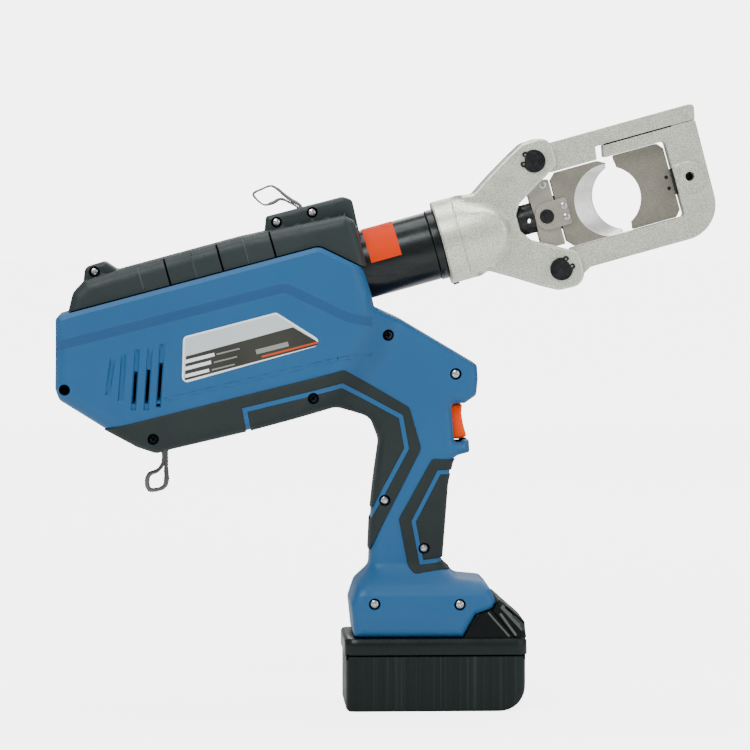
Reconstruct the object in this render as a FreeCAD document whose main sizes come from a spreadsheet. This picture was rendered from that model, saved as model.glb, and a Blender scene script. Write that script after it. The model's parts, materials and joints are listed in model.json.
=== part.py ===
import FreeCAD, Part
import math
import os
from FreeCAD import Vector

# Hand-held hydraulic cutter. X runs forward to the head, Z up, Y across.
# The origin is the middle of the battery's flat bottom.
# Parts of the head, ram and pump use a tilted frame: u along the barrel, v across it.

SIZES = {
    "tilt_angle": 15.5, "head_x": 5.1, "head_z": 297.2,
    "body_half": 36, "grip_half": 18, "foot_half": 37.2, "cover_half": 33,
    "body_round": 9, "grip_round": 7, "foot_round": 6, "cover_round": 5, "wall": 2.8,
    "overmould": 1.3, "barrel_radius": 22, "barrel_bore": 18.3, "nose_radius": 19,
    "barrel_fit": 0.3, "ring_radius": 22.7, "ram_radius": 9.75, "bore_radius": 10.1,
    "piston_radius": 18, "piston_length": 14, "ear_outer": 14.3, "ear_inner": 8.3,
    "frame_half": 8, "pin_radius": 6, "pin_hole": 6.06, "pin_half": 16.2, "groove_radius": 5.4,
    "clip_radius": 7.3, "clip_thick": 1, "pad_radius": 10.6, "pad_rise": 1,
    "blade_outer": 7.9, "blade_gap": 0.15, "latch_hook": 4, "hook_slot": 4.4, "block_half": 8, "plate_thick": 2.2,
    "pack_half": 37.5, "pack_wall": 2, "pack_round": 5, "cell_radius": 9.1, "cell_length": 65,
    "cell_pitch": 19, "rail_half": 27, "trigger_half": 9, "switch_half": 10,
    "motor_radius": 26, "motor_bore": 23, "rotor_radius": 14, "shaft_radius": 2.5,
    "motor_drop": 24, "gearbox_radius": 22, "cam_radius": 8, "cam_offset": 1.5, "cam_shaft": 5,
    "cam_room": 13, "plunger_radius": 4, "plunger_bore": 4.1, "label_thick": 0.6,
    "screw_head": 2.8, "screw_shank": 1.6, "screw_well": 3.6, "boss_radius": 5,
    "strap_width": 15, "strap_thick": 1.8, "strap_pin": 2, "vent_width": 3.4,
    "sticker_thick": 0.25, "sticker_start": -47, "sticker_length": 20,
}

doc = FreeCAD.newDocument("cutter")
sheet = doc.addObject("Spreadsheet::Sheet", "Dims")
for row, (alias, value) in enumerate(SIZES.items(), start=1):
    sheet.set("A%d" % row, alias)
    sheet.set("B%d" % row, str(value))
    sheet.setAlias("B%d" % row, alias)
doc.recompute()

nodes = {}


def size(alias):
    return float(sheet.get(alias))


def node(name, thing):
    """Name a finished piece; it is written out as a file of that name."""
    thing.Label = name
    nodes[name] = thing
    return thing


def bind(thing, pairs):
    for prop, text in pairs.items():
        thing.setExpression(prop, str(text))


def tilted(thing):
    """Place a piece drawn in the u, v frame on the barrel's axis."""
    if thing.TypeId in ("Part::Cylinder", "Part::Box"):
        holder = doc.addObject("Part::Compound", thing.Name + "_placed")
        holder.Links = [thing]
        thing = holder
    thing.Placement.Rotation = FreeCAD.Rotation(Vector(0, 1, 0), -1)
    bind(thing, {
        "Placement.Rotation.Angle": "-Dims.tilt_angle",
        "Placement.Base.x": "Dims.head_x",
        "Placement.Base.z": "Dims.head_z",
    })
    return thing


def corner(before, here, after, radius):
    """Start, middle and end of the arc that rounds one corner."""
    to_before = Vector(before[0] - here[0], before[1] - here[1], 0)
    to_after = Vector(after[0] - here[0], after[1] - here[1], 0)
    half = to_before.getAngle(to_after) / 2
    if half > 1.565:
        point = Vector(here[0], here[1], 0)
        return point, None, point
    reach = min(radius / math.tan(half), 0.49 * to_before.Length, 0.49 * to_after.Length)
    true_radius = reach * math.tan(half)
    point = Vector(here[0], here[1], 0)
    start = point + to_before.normalize() * reach
    end = point + to_after.normalize() * reach
    inward = (to_before + to_after).normalize()
    middle = point + inward * (true_radius / math.sin(half) - true_radius)
    return start, middle, end


def edges_of(outline):
    """Lines and arcs of a closed outline. A corner is (x, z) or (x, z, radius);
    ("arc", x, z) between two corners makes an arc through that point."""
    corners = [p for p in outline if p[0] != "arc"]
    through = {}
    for place, p in enumerate(outline):
        if p[0] == "arc":
            before = outline[place - 1]
            through[(before[0], before[1])] = Vector(p[1], p[2], 0)
    joints = []
    count = len(corners)
    for k in range(count):
        here = corners[k]
        if len(here) > 2 and here[2] > 0:
            joints.append(corner(corners[k - 1], here, corners[(k + 1) % count], here[2]))
        else:
            point = Vector(here[0], here[1], 0)
            joints.append((point, None, point))
    edges = []
    for k in range(count):
        start, middle, end = joints[k]
        if middle is not None:
            edges.append(Part.Arc(start, middle, end))
        following = joints[(k + 1) % count][0]
        key = (corners[k][0], corners[k][1])
        if key in through:
            edges.append(Part.Arc(end, through[key], following))
        elif end.distanceToPoint(following) > 1e-4:
            edges.append(Part.LineSegment(end, following))
    return edges


def prism(name, outline, low, high):
    """A body padded across Y from low to high over an outline in X and Z."""
    body = doc.addObject("PartDesign::Body", name)
    plane = [f for f in body.Origin.OriginFeatures if f.Role == "XZ_Plane"][0]
    sketch = body.newObject("Sketcher::SketchObject", name + "_sketch")
    sketch.AttachmentSupport = [(plane, "")]
    sketch.MapMode = "FlatFace"
    sketch.addGeometry(edges_of(outline), False)
    bind(sketch, {"AttachmentOffset.Base.z": "-(%s)" % high})
    pad = body.newObject("PartDesign::Pad", name + "_pad")
    pad.Profile = sketch
    bind(pad, {"Length": "(%s) - (%s)" % (high, low)})
    return body


def soften(body, side, radius):
    """Round the edges of the flat face that looks to the given side."""
    doc.recompute()
    shape = body.Shape
    limit = shape.BoundBox.YMin if side < 0 else shape.BoundBox.YMax
    picked = []
    for number, edge in enumerate(shape.Edges, start=1):
        box = edge.BoundBox
        if abs(box.YMin - limit) < 1e-3 and abs(box.YMax - limit) < 1e-3:
            picked.append("Edge%d" % number)
    base = body.Tip
    fillet = body.newObject("PartDesign::Fillet", body.Name + "_round")
    fillet.Base = (base, picked)
    bind(fillet, {"Radius": radius})
    body.Tip = fillet
    return body


def turned(name, profile):
    """A body turned about the X axis from a profile of (along, radius)."""
    body = doc.addObject("PartDesign::Body", name)
    plane = [f for f in body.Origin.OriginFeatures if f.Role == "XZ_Plane"][0]
    sketch = body.newObject("Sketcher::SketchObject", name + "_sketch")
    sketch.AttachmentSupport = [(plane, "")]
    sketch.MapMode = "FlatFace"
    sketch.addGeometry(edges_of(profile), False)
    turn = body.newObject("PartDesign::Revolution", name + "_turn")
    turn.Profile = sketch
    turn.ReferenceAxis = (sketch, ["H_Axis"])
    turn.Angle = 360
    return body


AXES = {"x": (Vector(0, 1, 0), 90), "y": (Vector(1, 0, 0), -90), "z": (Vector(0, 0, 1), 0)}


def rod(name, axis, base, radius, length):
    """A plain cylinder from base along an axis."""
    piece = doc.addObject("Part::Cylinder", name)
    about, angle = AXES[axis]
    piece.Placement = FreeCAD.Placement(Vector(*base), FreeCAD.Rotation(about, angle))
    bind(piece, {"Radius": radius, "Height": length})
    return piece


def block(name, low, high):
    """A plain box between two corners."""
    piece = doc.addObject("Part::Box", name)
    bind(piece, {
        "Placement.Base.x": low[0], "Placement.Base.y": low[1], "Placement.Base.z": low[2],
        "Length": "(%s) - (%s)" % (high[0], low[0]),
        "Width": "(%s) - (%s)" % (high[1], low[1]),
        "Height": "(%s) - (%s)" % (high[2], low[2]),
    })
    return piece


def fuse(name, pieces):
    joined = doc.addObject("Part::MultiFuse", name)
    joined.Shapes = pieces
    return joined


def cut(name, base, tools):
    result = doc.addObject("Part::Cut", name)
    result.Base = base
    result.Tool = tools[0] if len(tools) == 1 else fuse(name + "_tools", tools)
    return result


def common(name, base, tool):
    result = doc.addObject("Part::Common", name)
    result.Base = base
    result.Tool = tool
    return result


def mirrored(name, source):
    other = doc.addObject("Part::Mirroring", name)
    other.Source = source
    other.Normal = Vector(0, 1, 0)
    return other


def inset(outline, depth, keep=False):
    """The outline moved inwards by depth. With keep, edges marked 0 stay where they are."""
    count = len(outline)
    area = 0
    for k in range(count):
        a, b = outline[k], outline[(k + 1) % count]
        area += a[0] * b[1] - b[0] * a[1]
    turn = 1 if area > 0 else -1
    moved = []
    for k in range(count):
        a, b, c = outline[k - 1], outline[k], outline[(k + 1) % count]
        depth_a = 0 if keep and len(a) == 4 else depth
        depth_b = 0 if keep and len(b) == 4 else depth
        first = Vector(b[0] - a[0], b[1] - a[1], 0).normalize()
        second = Vector(c[0] - b[0], c[1] - b[1], 0).normalize()
        normal_a = Vector(-first.y, first.x, 0) * turn
        normal_b = Vector(-second.y, second.x, 0) * turn
        sine = first.cross(second).z
        if abs(sine) < 0.02:
            shift = (normal_a * depth_a + normal_b * depth_b) * 0.5
        else:
            along = (depth_b - depth_a * normal_a.dot(normal_b)) / first.dot(normal_b)
            shift = normal_a * depth_a + first * along
        radius = b[2] if len(b) > 2 else 0
        if radius:
            middle = (depth_a + depth_b) / 2
            radius = max(radius - middle, 0.6) if sine * turn > 0 else radius + middle
        moved.append((b[0] + shift.x, b[1] + shift.y, radius))
    return moved


BENDS = (0, 30, 60, 90)


def rounded_half(name, outline, half, rounding, less="0", middle=0, more="0"):
    """A body from the mid plane out to -half, its outer edge rounded in steps.
    less thins it and its rounding for a room inside, more thickens it;
    middle is where it starts."""
    body = doc.addObject("PartDesign::Body", name)
    plane = [f for f in body.Origin.OriginFeatures if f.Role == "XZ_Plane"][0]
    radius = size(rounding) - (size(less) if less != "0" else 0)
    taken = "0" if less == "0" else "Dims." + less
    layers = [(outline, str(-middle))]
    for bend in BENDS:
        turn = math.radians(bend)
        edge = inset(outline, radius * (1 - math.cos(turn)), keep=True) if bend else outline
        rise = 1 - math.sin(turn)
        where = "Dims.%s - %s + %s - (Dims.%s - %s) * %.5f" % (half, taken, more, rounding, taken, rise)
        layers.append((edge, where))
    sketches = []
    for place, (edge, where) in enumerate(layers):
        sketch = body.newObject("Sketcher::SketchObject", "%s_layer_%d" % (name, place))
        sketch.AttachmentSupport = [(plane, "")]
        sketch.MapMode = "FlatFace"
        sketch.addGeometry(edges_of(edge), False)
        bind(sketch, {"AttachmentOffset.Base.z": where})
        sketches.append(sketch)
    loft = body.newObject("PartDesign::AdditiveLoft", name + "_loft")
    loft.Profile = sketches[0]
    loft.Sections = sketches[1:]
    loft.Ruled = True
    return body


def spring(name, pitch, height, radius, wire):
    """A coil spring standing on Z."""
    helix = doc.addObject("Part::Helix", name + "_helix")
    helix.Pitch = pitch
    helix.Height = height
    helix.Radius = radius
    section = doc.addObject("Part::Circle", name + "_section")
    section.Radius = wire
    section.Placement = FreeCAD.Placement(Vector(radius, 0, 0), FreeCAD.Rotation(Vector(1, 0, 0), 90))
    sweep = doc.addObject("Part::Sweep", name)
    sweep.Sections = [section]
    sweep.Spine = (helix, [])
    sweep.Solid = True
    sweep.Frenet = True
    return sweep


# ---- Clamshell housing -------------------------------------------------------------------

# A fourth value of 0 keeps the edge that starts at that corner square.
BODY = [
    (-240.4, 252, 4, 0), (-72.8, 296, 6, 0), (-43.4, 281.4, 6), (-38.4, 250, 10), (-43, 204, 10),
    (-62.9, 193.3, 10), (-181.5, 164.6, 11), (-240.6, 199.2, 8),
]
GRIP = [
    (-70, 262, 2), (-38, 257.4, 4), (-21.6, 249.3, 10), (28.8, 219.4, 5), (27.8, 198.6, 5),
    (22.9, 163.4, 3.5), (10.4, 160.4, 8), (8.4, 144.1, 30), (6.5, 117.8, 30), (5, 80, 4),
    (-41.5, 80, 4), (-40.8, 102.8, 12), (-40.4, 122, 20), (-37.6, 144.1, 30), (-33.4, 172, 12),
    (-44, 190, 10), (-70, 196, 4),
]
FOOT = [
    (-43, 92.2, 6), (4.9, 92.2, 4), (15.5, 83, 6), (35.4, 82, 5), (39, 66.3, 2.5), (25.3, 61.5, 2),
    (17.8, 46.9, 1, 0), (-52, 46.9, 2), (-54.6, 70, 9),
]
SCREWS = [
    (-233.5, 206, -30.5), (-179.1, 174.1, -32), (-77.7, 199.6, -34.2), (-29.6, 239.2, -16.2),
    (13.7, 213.7, -16.2), (-31.4, 134.9, -14.6), (-6.4, 102.5, -15.2), (-38.9, 68.5, -35.4),
    (15.4, 69.5, -35.4),
]
VENTS = [
    (-204.3, 225.9, -207.8, 202.3, -34.6), (-197.2, 228.4, -199.6, 197.6, -34.6),
    (-188.9, 230.7, -191.3, 192.8, -30), (-180.6, 232.4, -183, 192.8, -30),
    (-172.9, 234.2, -175.3, 194.6, -30),
]


def hull(tag, grow):
    """Right half of the housing's outside, larger all round by grow."""
    lobes = []
    for label, outline, half, rounding in [
        ("body", BODY, "body_half", "body_round"),
        ("grip", GRIP, "grip_half", "grip_round"),
        ("foot", FOOT, "foot_half", "foot_round"),
    ]:
        grown = inset(outline, -grow) if grow else outline
        lobes.append(rounded_half(tag + "_" + label, grown, half, rounding, more=str(grow)))
    return fuse(tag, lobes)


def hollow(tag):
    """Right half of the room inside the housing."""
    rooms = []
    for label, outline, half in [
        ("body", BODY, "body_half"), ("grip", GRIP, "grip_half"), ("foot", FOOT, "foot_half"),
    ]:
        inner = inset(outline, size("wall"))
        rooms.append(rounded_half(tag + "_" + label, inner, half, label + "_round", "wall", 1))
    return fuse(tag, rooms)


barrel_way = tilted(rod("barrel_way", "x", (-97, 0, 0), "Dims.barrel_radius + Dims.barrel_fit", 110))
outside = hull("right_outside", 0)
room = hollow("right_room")
walls = cut("right_walls", outside, [room, barrel_way])
trigger_way = block("trigger_way", ("-14", "-11.2", "171.2"), ("30", "1", "195.2"))
NOTCH = [(11, 171.3), (45, 171.3), (45, 212), (27.4, 200.6), (19.7, 195.2), (11, 195.2)]
notch = prism("notch", NOTCH, "-40", "1")
rail_way = block("rail_way", ("-49", "-Dims.rail_half - 1.2", "46"), ("30", "1", "57.6"))
wells = []
bosses = []
shanks = []
heads = []
for number, (x, z, face) in enumerate(SCREWS):
    wells.append(rod("well_%d" % number, "y", (x, -46, z), "Dims.screw_well", 46 + face))
    bosses.append(rod("boss_%d" % number, "y", (x, face - 1, z), "Dims.boss_radius", 1 - face))
    shanks.append(rod("shank_%d" % number, "y", (x, -46, z), "Dims.screw_shank + 0.2", 47))
    heads.append(rod("head_%d" % number, "y", (x, face - 2.2, z), "Dims.screw_head", 2.1))
    heads.append(rod("shaft_%d" % number, "y", (x, face - 0.5, z), "Dims.screw_shank", 3 - face))
slots = []
for number, (x1, z1, x2, z2, face) in enumerate(VENTS):
    lean = math.atan2(z1 - z2, x1 - x2)
    side = Vector(math.sin(lean), -math.cos(lean), 0) * size("vent_width") / 2
    slot = [
        (x1 + side.x, z1 + side.y, 1), (x1 - side.x, z1 - side.y, 1),
        (x2 - side.x, z2 - side.y, 1), (x2 + side.x, z2 + side.y, 1),
    ]
    slots.append(prism("vent_%d" % number, slot, "-40", str(face)))
bossed = common("right_bosses", fuse("boss_set", bosses), outside)
stiffened = fuse("right_stiff", [walls, bossed])
tool_rail = block("tool_rail", ("-49", "-Dims.rail_half - 2", "48"), ("17", "-Dims.rail_half + 2", "50.8"))
right_cut = cut("right_cut", stiffened, wells + shanks + slots + [trigger_way, notch, rail_way])
node("right_shell", fuse("right_shell", [right_cut, tool_rail]))
left_blank = mirrored("left_blank", fuse("left_stiff", [walls, bossed]))
left_ways = [mirrored("left_way_%d" % k, w) for k, w in enumerate([trigger_way, notch, rail_way] + slots[2:])]
left_holes = []
for number, (x, z, face) in enumerate(SCREWS):
    left_holes.append(rod("left_hole_%d" % number, "y", (x, -1, z), "Dims.screw_shank + 0.2", 4.6))
left_cut = cut("left_cut", left_blank, left_ways + left_holes)
node("left_shell", fuse("left_shell", [left_cut, mirrored("left_rail", tool_rail)]))
node("housing_screws", fuse("housing_screws", heads))

# ---- Rubber grips laid over the handle -----------------------------------------------------

REAR_GRIP = [
    (-213, 178, 1), (-205, 182, 3), (-57.3, 217.3, 8), (-16, 193, 8), (-8.4, 166.7, 14),
    (-38.6, 102, 4), (-60, 96, 1), (-60, 150, 1), (-110, 150, 1), (-213, 150, 1),
]
FRONT_GRIP = [
    (-1, 159.6, 2), (12.2, 159.2, 1), (30, 159.2, 1), (30, 89.7, 1), (4.7, 89.7, 1),
    (-14.1, 87.2, 3), (-17.4, 92.6, 4), (-22.5, 121.6, 8),
]
over = hull("over_outside", size("overmould"))
skin = cut("grip_skin", over, [outside])
for label, outline in [("rear_grip", REAR_GRIP), ("front_grip", FRONT_GRIP)]:
    window = prism(label + "_area", outline, "-45", "0")
    near = common(label + "_near", skin, window)
    near = cut(label + "_notched", near, [notch])
    cleared = cut("right_" + label, near, wells)
    node("right_" + label, cleared)
    node("left_" + label, mirrored("left_" + label, near))

# ---- Top cover ---------------------------------------------------------------------------

COVER = [
    (-232.6, 254.6, 1), (-228.8, 272.3, 6), (-112, 304.3, 3), (-60, 306.5, 3), (-45.2, 283, 1, 0),
    (-72.9, 296.4, 5, 0),
]
FRONT_BOSS = [
    (-107.4, 287.6, 1), (-106.8, 315.2, 4), (-53.6, 328.6, 4), (-46.6, 303, 10), (-42.6, 282.4, 1, 0),
    (-72.9, 296.4, 5, 0),
]
REAR_BOSS = [(-223.4, 262, 1), (-222.4, 283.4, 4), (-208.6, 287.6, 5), (-199, 270, 1)]
cover_parts = []
cover_rooms = []
for label, outline in [("cover", COVER), ("front_boss", FRONT_BOSS), ("rear_boss", REAR_BOSS)]:
    cover_parts.append(rounded_half(label + "_lobe", outline, "cover_half", "cover_round"))
    inner = inset(outline, size("wall"))
    if label != "rear_boss":
        cover_rooms.append(rounded_half(label + "_room", inner, "cover_half", "cover_round", "wall", 1))
cover_solid = fuse("cover_solid", cover_parts)
ribs = []
for number in range(4):
    start = -184 + number * 15.5
    rise = 0.268 * (start + 201.6)
    rib = [
        (start, 278 + rise, 0), (start + 9.5, 280.6 + rise, 0),
        (start + 9, 284.4 + rise, 1), (start - 0.5, 281.8 + rise, 1),
    ]
    ribs.append(prism("cover_rib_%d" % number, rib, "-Dims.cover_half + 10", "0"))
COVER_SCREWS = [(-216.3, 279.4), (-100.5, 311), (-77.8, 317.2)]
cover_wells = []
cover_bosses = []
cover_shanks = []
cover_heads = []
for number, (x, z) in enumerate(COVER_SCREWS):
    cover_wells.append(rod("cover_well_%d" % number, "y", (x, -46, z), "Dims.screw_well", 19))
    cover_bosses.append(rod("cover_boss_%d" % number, "y", (x, -28, z), "Dims.boss_radius", 28))
    cover_shanks.append(rod("cover_way_%d" % number, "y", (x, -46, z), "Dims.screw_shank + 0.2", 60))
    cover_heads.append(rod("cover_head_%d" % number, "y", (x, -29.2, z), "Dims.screw_head", 2.1))
    cover_heads.append(rod("cover_shaft_%d" % number, "y", (x, -27.5, z), "Dims.screw_shank", 33))
cover_walls = cut("cover_walls", cover_solid, cover_rooms + [barrel_way])
cover_inner = common("cover_inner", fuse("cover_boss_set", cover_bosses), cover_solid)
cover_blank = fuse("cover_blank", [cover_walls, cover_inner] + ribs)
node("right_top_cover", cut("right_top_cover", cover_blank, cover_wells + cover_shanks))
cover_mirror = mirrored("cover_mirror", cover_blank)
left_cover_holes = []
for number, (x, z) in enumerate(COVER_SCREWS):
    left_cover_holes.append(rod("cover_end_%d" % number, "y", (x, -1, z), "Dims.screw_shank + 0.2", 7.6))
node("left_top_cover", cut("left_top_cover", cover_mirror, left_cover_holes))
node("cover_screws", fuse("cover_screws", cover_heads))

LABEL = [(-159.5, 237.8, 3), (-101.1, 253, 3), (-71.6, 234.4, 3), (-160, 210.6, 3)]
label_low = "-Dims.body_half - Dims.label_thick"
node("rating_label", prism("rating_label", LABEL, label_low, "-Dims.body_half"))

# ---- Strap loops ---------------------------------------------------------------------------


def ribbon(name, path):
    """A closed strip of tape that follows a path in X and Z."""
    half = size("strap_thick") / 2
    sides = ([], [])
    for k, (x, z) in enumerate(path):
        a = path[max(k - 1, 0)]
        b = path[min(k + 1, len(path) - 1)]
        along = Vector(b[0] - a[0], b[1] - a[1], 0).normalize()
        sides[0].append((x - along.y * half, z + along.x * half, 2))
        sides[1].append((x + along.y * half, z - along.x * half, 2))
    outline = sides[0] + sides[1][::-1]
    ends = (0, len(path) - 1, len(path), len(outline) - 1)
    outline = [(p[0], p[1], 0) if k in ends else p for k, p in enumerate(outline)]
    return prism(name, outline, "-Dims.strap_width / 2", "Dims.strap_width / 2")


LOOPS = {
    "strap_loop_front": [(-84.6, 313.6), (-89.6, 320.6), (-97.6, 330.6), (-104.3, 334), (-112, 333.2),
                         (-115.6, 329), (-113.4, 324.2), (-107.6, 321.8), (-98, 320.4), (-92.6, 317.4),
                         (-89.4, 311.9)],
}
for name, path in LOOPS.items():
    node(name, ribbon(name, path))
EYE = [
    (-172.2, 152.4, 3), (-178, 151.9, 4), (-183.9, 148.4, 4), (-184.2, 141.4, 4), (-179.2, 137.6, 4),
    (-171.8, 138.4, 4), (-169.4, 143, 4), (-171.6, 148, 3),
]
SHANK = [(-174.9, 169.8), (-171.1, 169.8), (-171.4, 150.2, 1), (-175.2, 150.6, 1)]
strap_low = "-Dims.strap_width / 2"
strap_high = "Dims.strap_width / 2"
eye_ring = cut("eye_ring", prism("eye_blank", EYE, strap_low, strap_high), [
    prism("eye_gap", inset(EYE, size("strap_thick")), "-10", "10")])
shank = prism("strap_shank", SHANK, strap_low, strap_high)
shank_trim = cut("shank_trim", shank, [prism("eye_fill", EYE, "-10", "10")])
node("strap_loop_rear", fuse("strap_loop_rear", [eye_ring, shank_trim]))
node("strap_pins", fuse("strap_pins", [
    rod("strap_pin_front", "y", (-86, -12, 309.6), "Dims.strap_pin", 24),
    rod("strap_pin_rear", "y", (-171.9, -12, 172.2), "Dims.strap_pin", 24),
]))
for name in ["right_top_cover", "left_top_cover", "right_shell", "left_shell"]:
    front = name.endswith("cover")
    low = ("-97.5", "-8.2", "304") if front else ("-177", "-8.2", "160")
    high = ("-82", "8.2", "330") if front else ("-167.4", "8.2", "174.6")
    opened = cut(name + "_strap_way", nodes[name], [block(name + "_way", low, high)])
    nodes[name].Label = name + "_blank"
    node(name, opened)
for name in ["right_rear_grip", "left_rear_grip"]:
    opened = cut(name + "_cut", nodes[name], [
        block(name + "_way", ("-177", "-8.2", "155"), ("-167.4", "8.2", "178"))])
    nodes[name].Label = name + "_blank"
    node(name, opened)

# ---- Cylinder, ram and return spring -------------------------------------------------------

BARREL = [
    (-95.5, 0), (-95.5, 22), (-5.6, 22, 0.6), (-5.6, 19), (16, 19, 0.8), (16, 10.1), (-9, 10.1),
    (-9, 18.3), (-90, 18.3), (-90, 0),
]
node("cylinder_barrel", tilted(turned("cylinder_barrel", BARREL)))
sleeve = rod("sleeve", "x", (-47, 0, 0), "Dims.barrel_radius + Dims.sticker_thick", "Dims.sticker_length")
sleeve_way = rod("sleeve_way", "x", (-50, 0, 0), "Dims.barrel_radius", 30)
sleeve_half = block("sleeve_half", ("-50", "-30", "-30"), ("-20", "30", "0.5"))
node("barrel_sticker", tilted(cut("barrel_sticker", sleeve, [sleeve_way, sleeve_half])))
RING = [(-5.3, 19.05), (-5.3, 22.7, 0.6), (-0.3, 22.7, 0.6), (-0.3, 19.05)]
node("lock_ring", tilted(turned("lock_ring", RING)))
RAM = [
    (-88, 0), (-88, 17), (-86.5, 17.4), (-86.5, 18), (-82, 18), (-82, 16.6), (-79, 16.6), (-79, 18),
    (-74, 18, 0.6), (-74, 9.75), (61.9, 9.75, 0.5), (61.9, 0),
]
ram_blank = turned("ram_blank", RAM)
ram_hole = rod("ram_hole", "y", (58.6, -12, -1.4), 1.6, 24)
node("ram_rod", tilted(cut("ram_rod", ram_blank, [ram_hole])))
SEAL = [(-81.9, 16.65), (-81.9, 18.1, 0.4), (-79.1, 18.1, 0.4), (-79.1, 16.65)]
node("piston_seal", tilted(turned("piston_seal", SEAL)))
coil = spring("return_spring", 8, 60, 14, 1.1)
coil.Placement = FreeCAD.Placement(Vector(-71.4, 0, 0), FreeCAD.Rotation(Vector(0, 1, 0), 90))
spring_group = doc.addObject("Part::Compound", "spring_group")
spring_group.Links = [coil]
node("return_spring", tilted(spring_group))

# ---- Forged yoke ---------------------------------------------------------------------------

DOME = [
    (0.2, 19.3), (0.2, 25.6), (2, 26.6), (21, 25.4, 6), (28, 23.4, 20), (38, 19, 20), (47, 13.5),
    (47, 10.1), (17, 10.1), (17, 19.3),
]
FORK = [
    (16, 20), (26, 23.9, 4), (40.4, 33.2), (55.1, 41.8, 20), (66, 47.6, 10), (84.1, 48.5, 13.4),
    (84.1, 29, 4), (54.5, 11.6, 4), (50.4, 5, 4), (50.4, -5.6, 4), (55.4, -13, 4), (82.8, -28.4, 4),
    (82.8, -49.5, 13.4), (64, -48.6, 10), (54, -43, 20), (38.1, -32.9), (19.4, -21.3, 4), (16, -20),
]
UPPER_PIN = (70.6, 35)
LOWER_PIN = (69.3, -36)
prongs = soften(prism("prongs", FORK, "-Dims.ear_outer", "Dims.ear_outer"), -1, "1.2")
prongs = soften(prongs, 1, "1.2")
fork_slot = block("fork_slot", ("56", "-Dims.ear_inner", "-60"), ("95", "Dims.ear_inner", "60"))
ram_way = rod("ram_way", "x", (10, 0, 0), "Dims.bore_radius", 60)
nose_way = rod("nose_way", "x", (-1, 0, 0), "Dims.nose_radius + Dims.barrel_fit", 18)
pin_ways = []
for label, (u, v) in [("upper", UPPER_PIN), ("lower", LOWER_PIN)]:
    pin_ways.append(rod(label + "_pin_way", "y", (u, -20, v), "Dims.pin_hole", 40))
yoke_solid = fuse("yoke_solid", [turned("dome", DOME), prongs])
set_way = rod("set_way", "z", (2.9, 0, -30), 2.1, 12)
node("yoke", tilted(cut("yoke", yoke_solid, [fork_slot, ram_way, nose_way, set_way] + pin_ways)))
node("yoke_set_screw", tilted(rod("yoke_set_screw", "z", (2.9, 0, -27.9), 2, 7.6)))
clips = []
for label, (u, v), lean in [("upper", UPPER_PIN, 180), ("lower", LOWER_PIN, 0)]:
    stem = rod(label + "_stem", "y", (u, -16.2, v), "Dims.pin_radius", "2 * Dims.pin_half")
    grooves = []
    for side in (-1, 1):
        start = -15.5 if side < 0 else 14.4
        ring = rod("%s_groove_%d" % (label, side), "y", (u, start, v), 8, "Dims.clip_thick + 0.1")
        core = rod("%s_core_%d" % (label, side), "y", (u, start - 1, v), "Dims.groove_radius", 4)
        grooves.append(cut("%s_gap_%d" % (label, side), ring, [core]))
        clip = rod("%s_clip_%d" % (label, side), "y", (u, start + 0.05, v), "Dims.clip_radius", "Dims.clip_thick")
        eye = rod("%s_eye_%d" % (label, side), "y", (u, start - 1, v), "Dims.groove_radius + 0.05", 4)
        reach = 8 if lean == 0 else -8
        gap = block("%s_split_%d" % (label, side), (str(min(u, u + reach)), str(start - 1), str(v - 1)),
                    (str(max(u, u + reach)), str(start + 3), str(v + 1)))
        clips.append(cut("%s_ring_%d" % (label, side), clip, [eye, gap]))
    node(label + "_pin", tilted(cut(label + "_pin", stem, grooves)))
node("pin_circlips", tilted(fuse("pin_circlips", clips)))

# ---- Flip-open frame and its latch arm -----------------------------------------------------

ARM = [
    (62.3, 43.3, 8.1), (179.8, 43.3, 2.5), (177.8, 33.3, 1), (111.4, 33.3, 0.6), (110.2, 25, 1),
    (80, 25, 2), (76, 26.7, 1), (62.3, 26.7, 8.1),
]
arm_blank = prism("arm_blank", ARM, "-Dims.frame_half", "Dims.frame_half")
HOOK = [(165.2, 34.5), (173, 34.5), (172.4, 27.6, 1), (165.8, 27.6, 1)]
hook = prism("hook", HOOK, "-Dims.latch_hook", "Dims.latch_hook")
arm_hole = rod("arm_hole", "y", (UPPER_PIN[0], -20, UPPER_PIN[1]), "Dims.pin_radius + 0.1", 40)
node("latch_arm", tilted(cut("latch_arm", fuse("arm_solid", [arm_blank, hook]), [arm_hole])))
FRAME = [
    (61, -44.3, 8.1), (81, -44.3, 3), (88, -40.1, 6), (176.8, -40.1, 23), (177.8, 33, 1.5),
    (116.6, 33, 0.8), (115, 25, 0.8), (155.5, 25, 2.4), (155.5, -25, 2.4), (80, -25, 2),
    (76, -27.7, 1), (61, -27.7, 8.1),
]
frame_blank = prism("frame_blank", FRAME, "-Dims.frame_half", "Dims.frame_half")
frame_pad = rod("frame_pad", "y", (164.9, -9, -1.2), "Dims.pad_radius", "2 * (Dims.frame_half + Dims.pad_rise)")
pad_trim = block("pad_trim", ("140", "-20", "-20"), ("155.5", "20", "20"))
pad_end = block("pad_end", ("177.2", "-20", "-20"), ("190", "20", "20"))
pad_solid = cut("pad_solid", frame_pad, [pad_trim, pad_end])
frame_hole = rod("frame_hole", "y", (LOWER_PIN[0], -20, LOWER_PIN[1]), "Dims.pin_radius + 0.1", 40)
eye_hole = rod("eye_hole", "y", (164.9, -20, -1.2), 3, 40)
HOOK_ROOM = [(163.4, 34), (175, 34), (174.6, 26.4, 1), (163.6, 26.4, 1)]
hook_room = prism("hook_room", HOOK_ROOM, "-Dims.hook_slot", "Dims.hook_slot")
key_room = block("key_room", ("155", "-5.2", "-10.6"), ("157.6", "0", "6.8"))
frame_solid = fuse("frame_solid", [frame_blank, pad_solid])
node("lower_frame", tilted(cut("lower_frame", frame_solid, [frame_hole, eye_hole, hook_room, key_room])))
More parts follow.
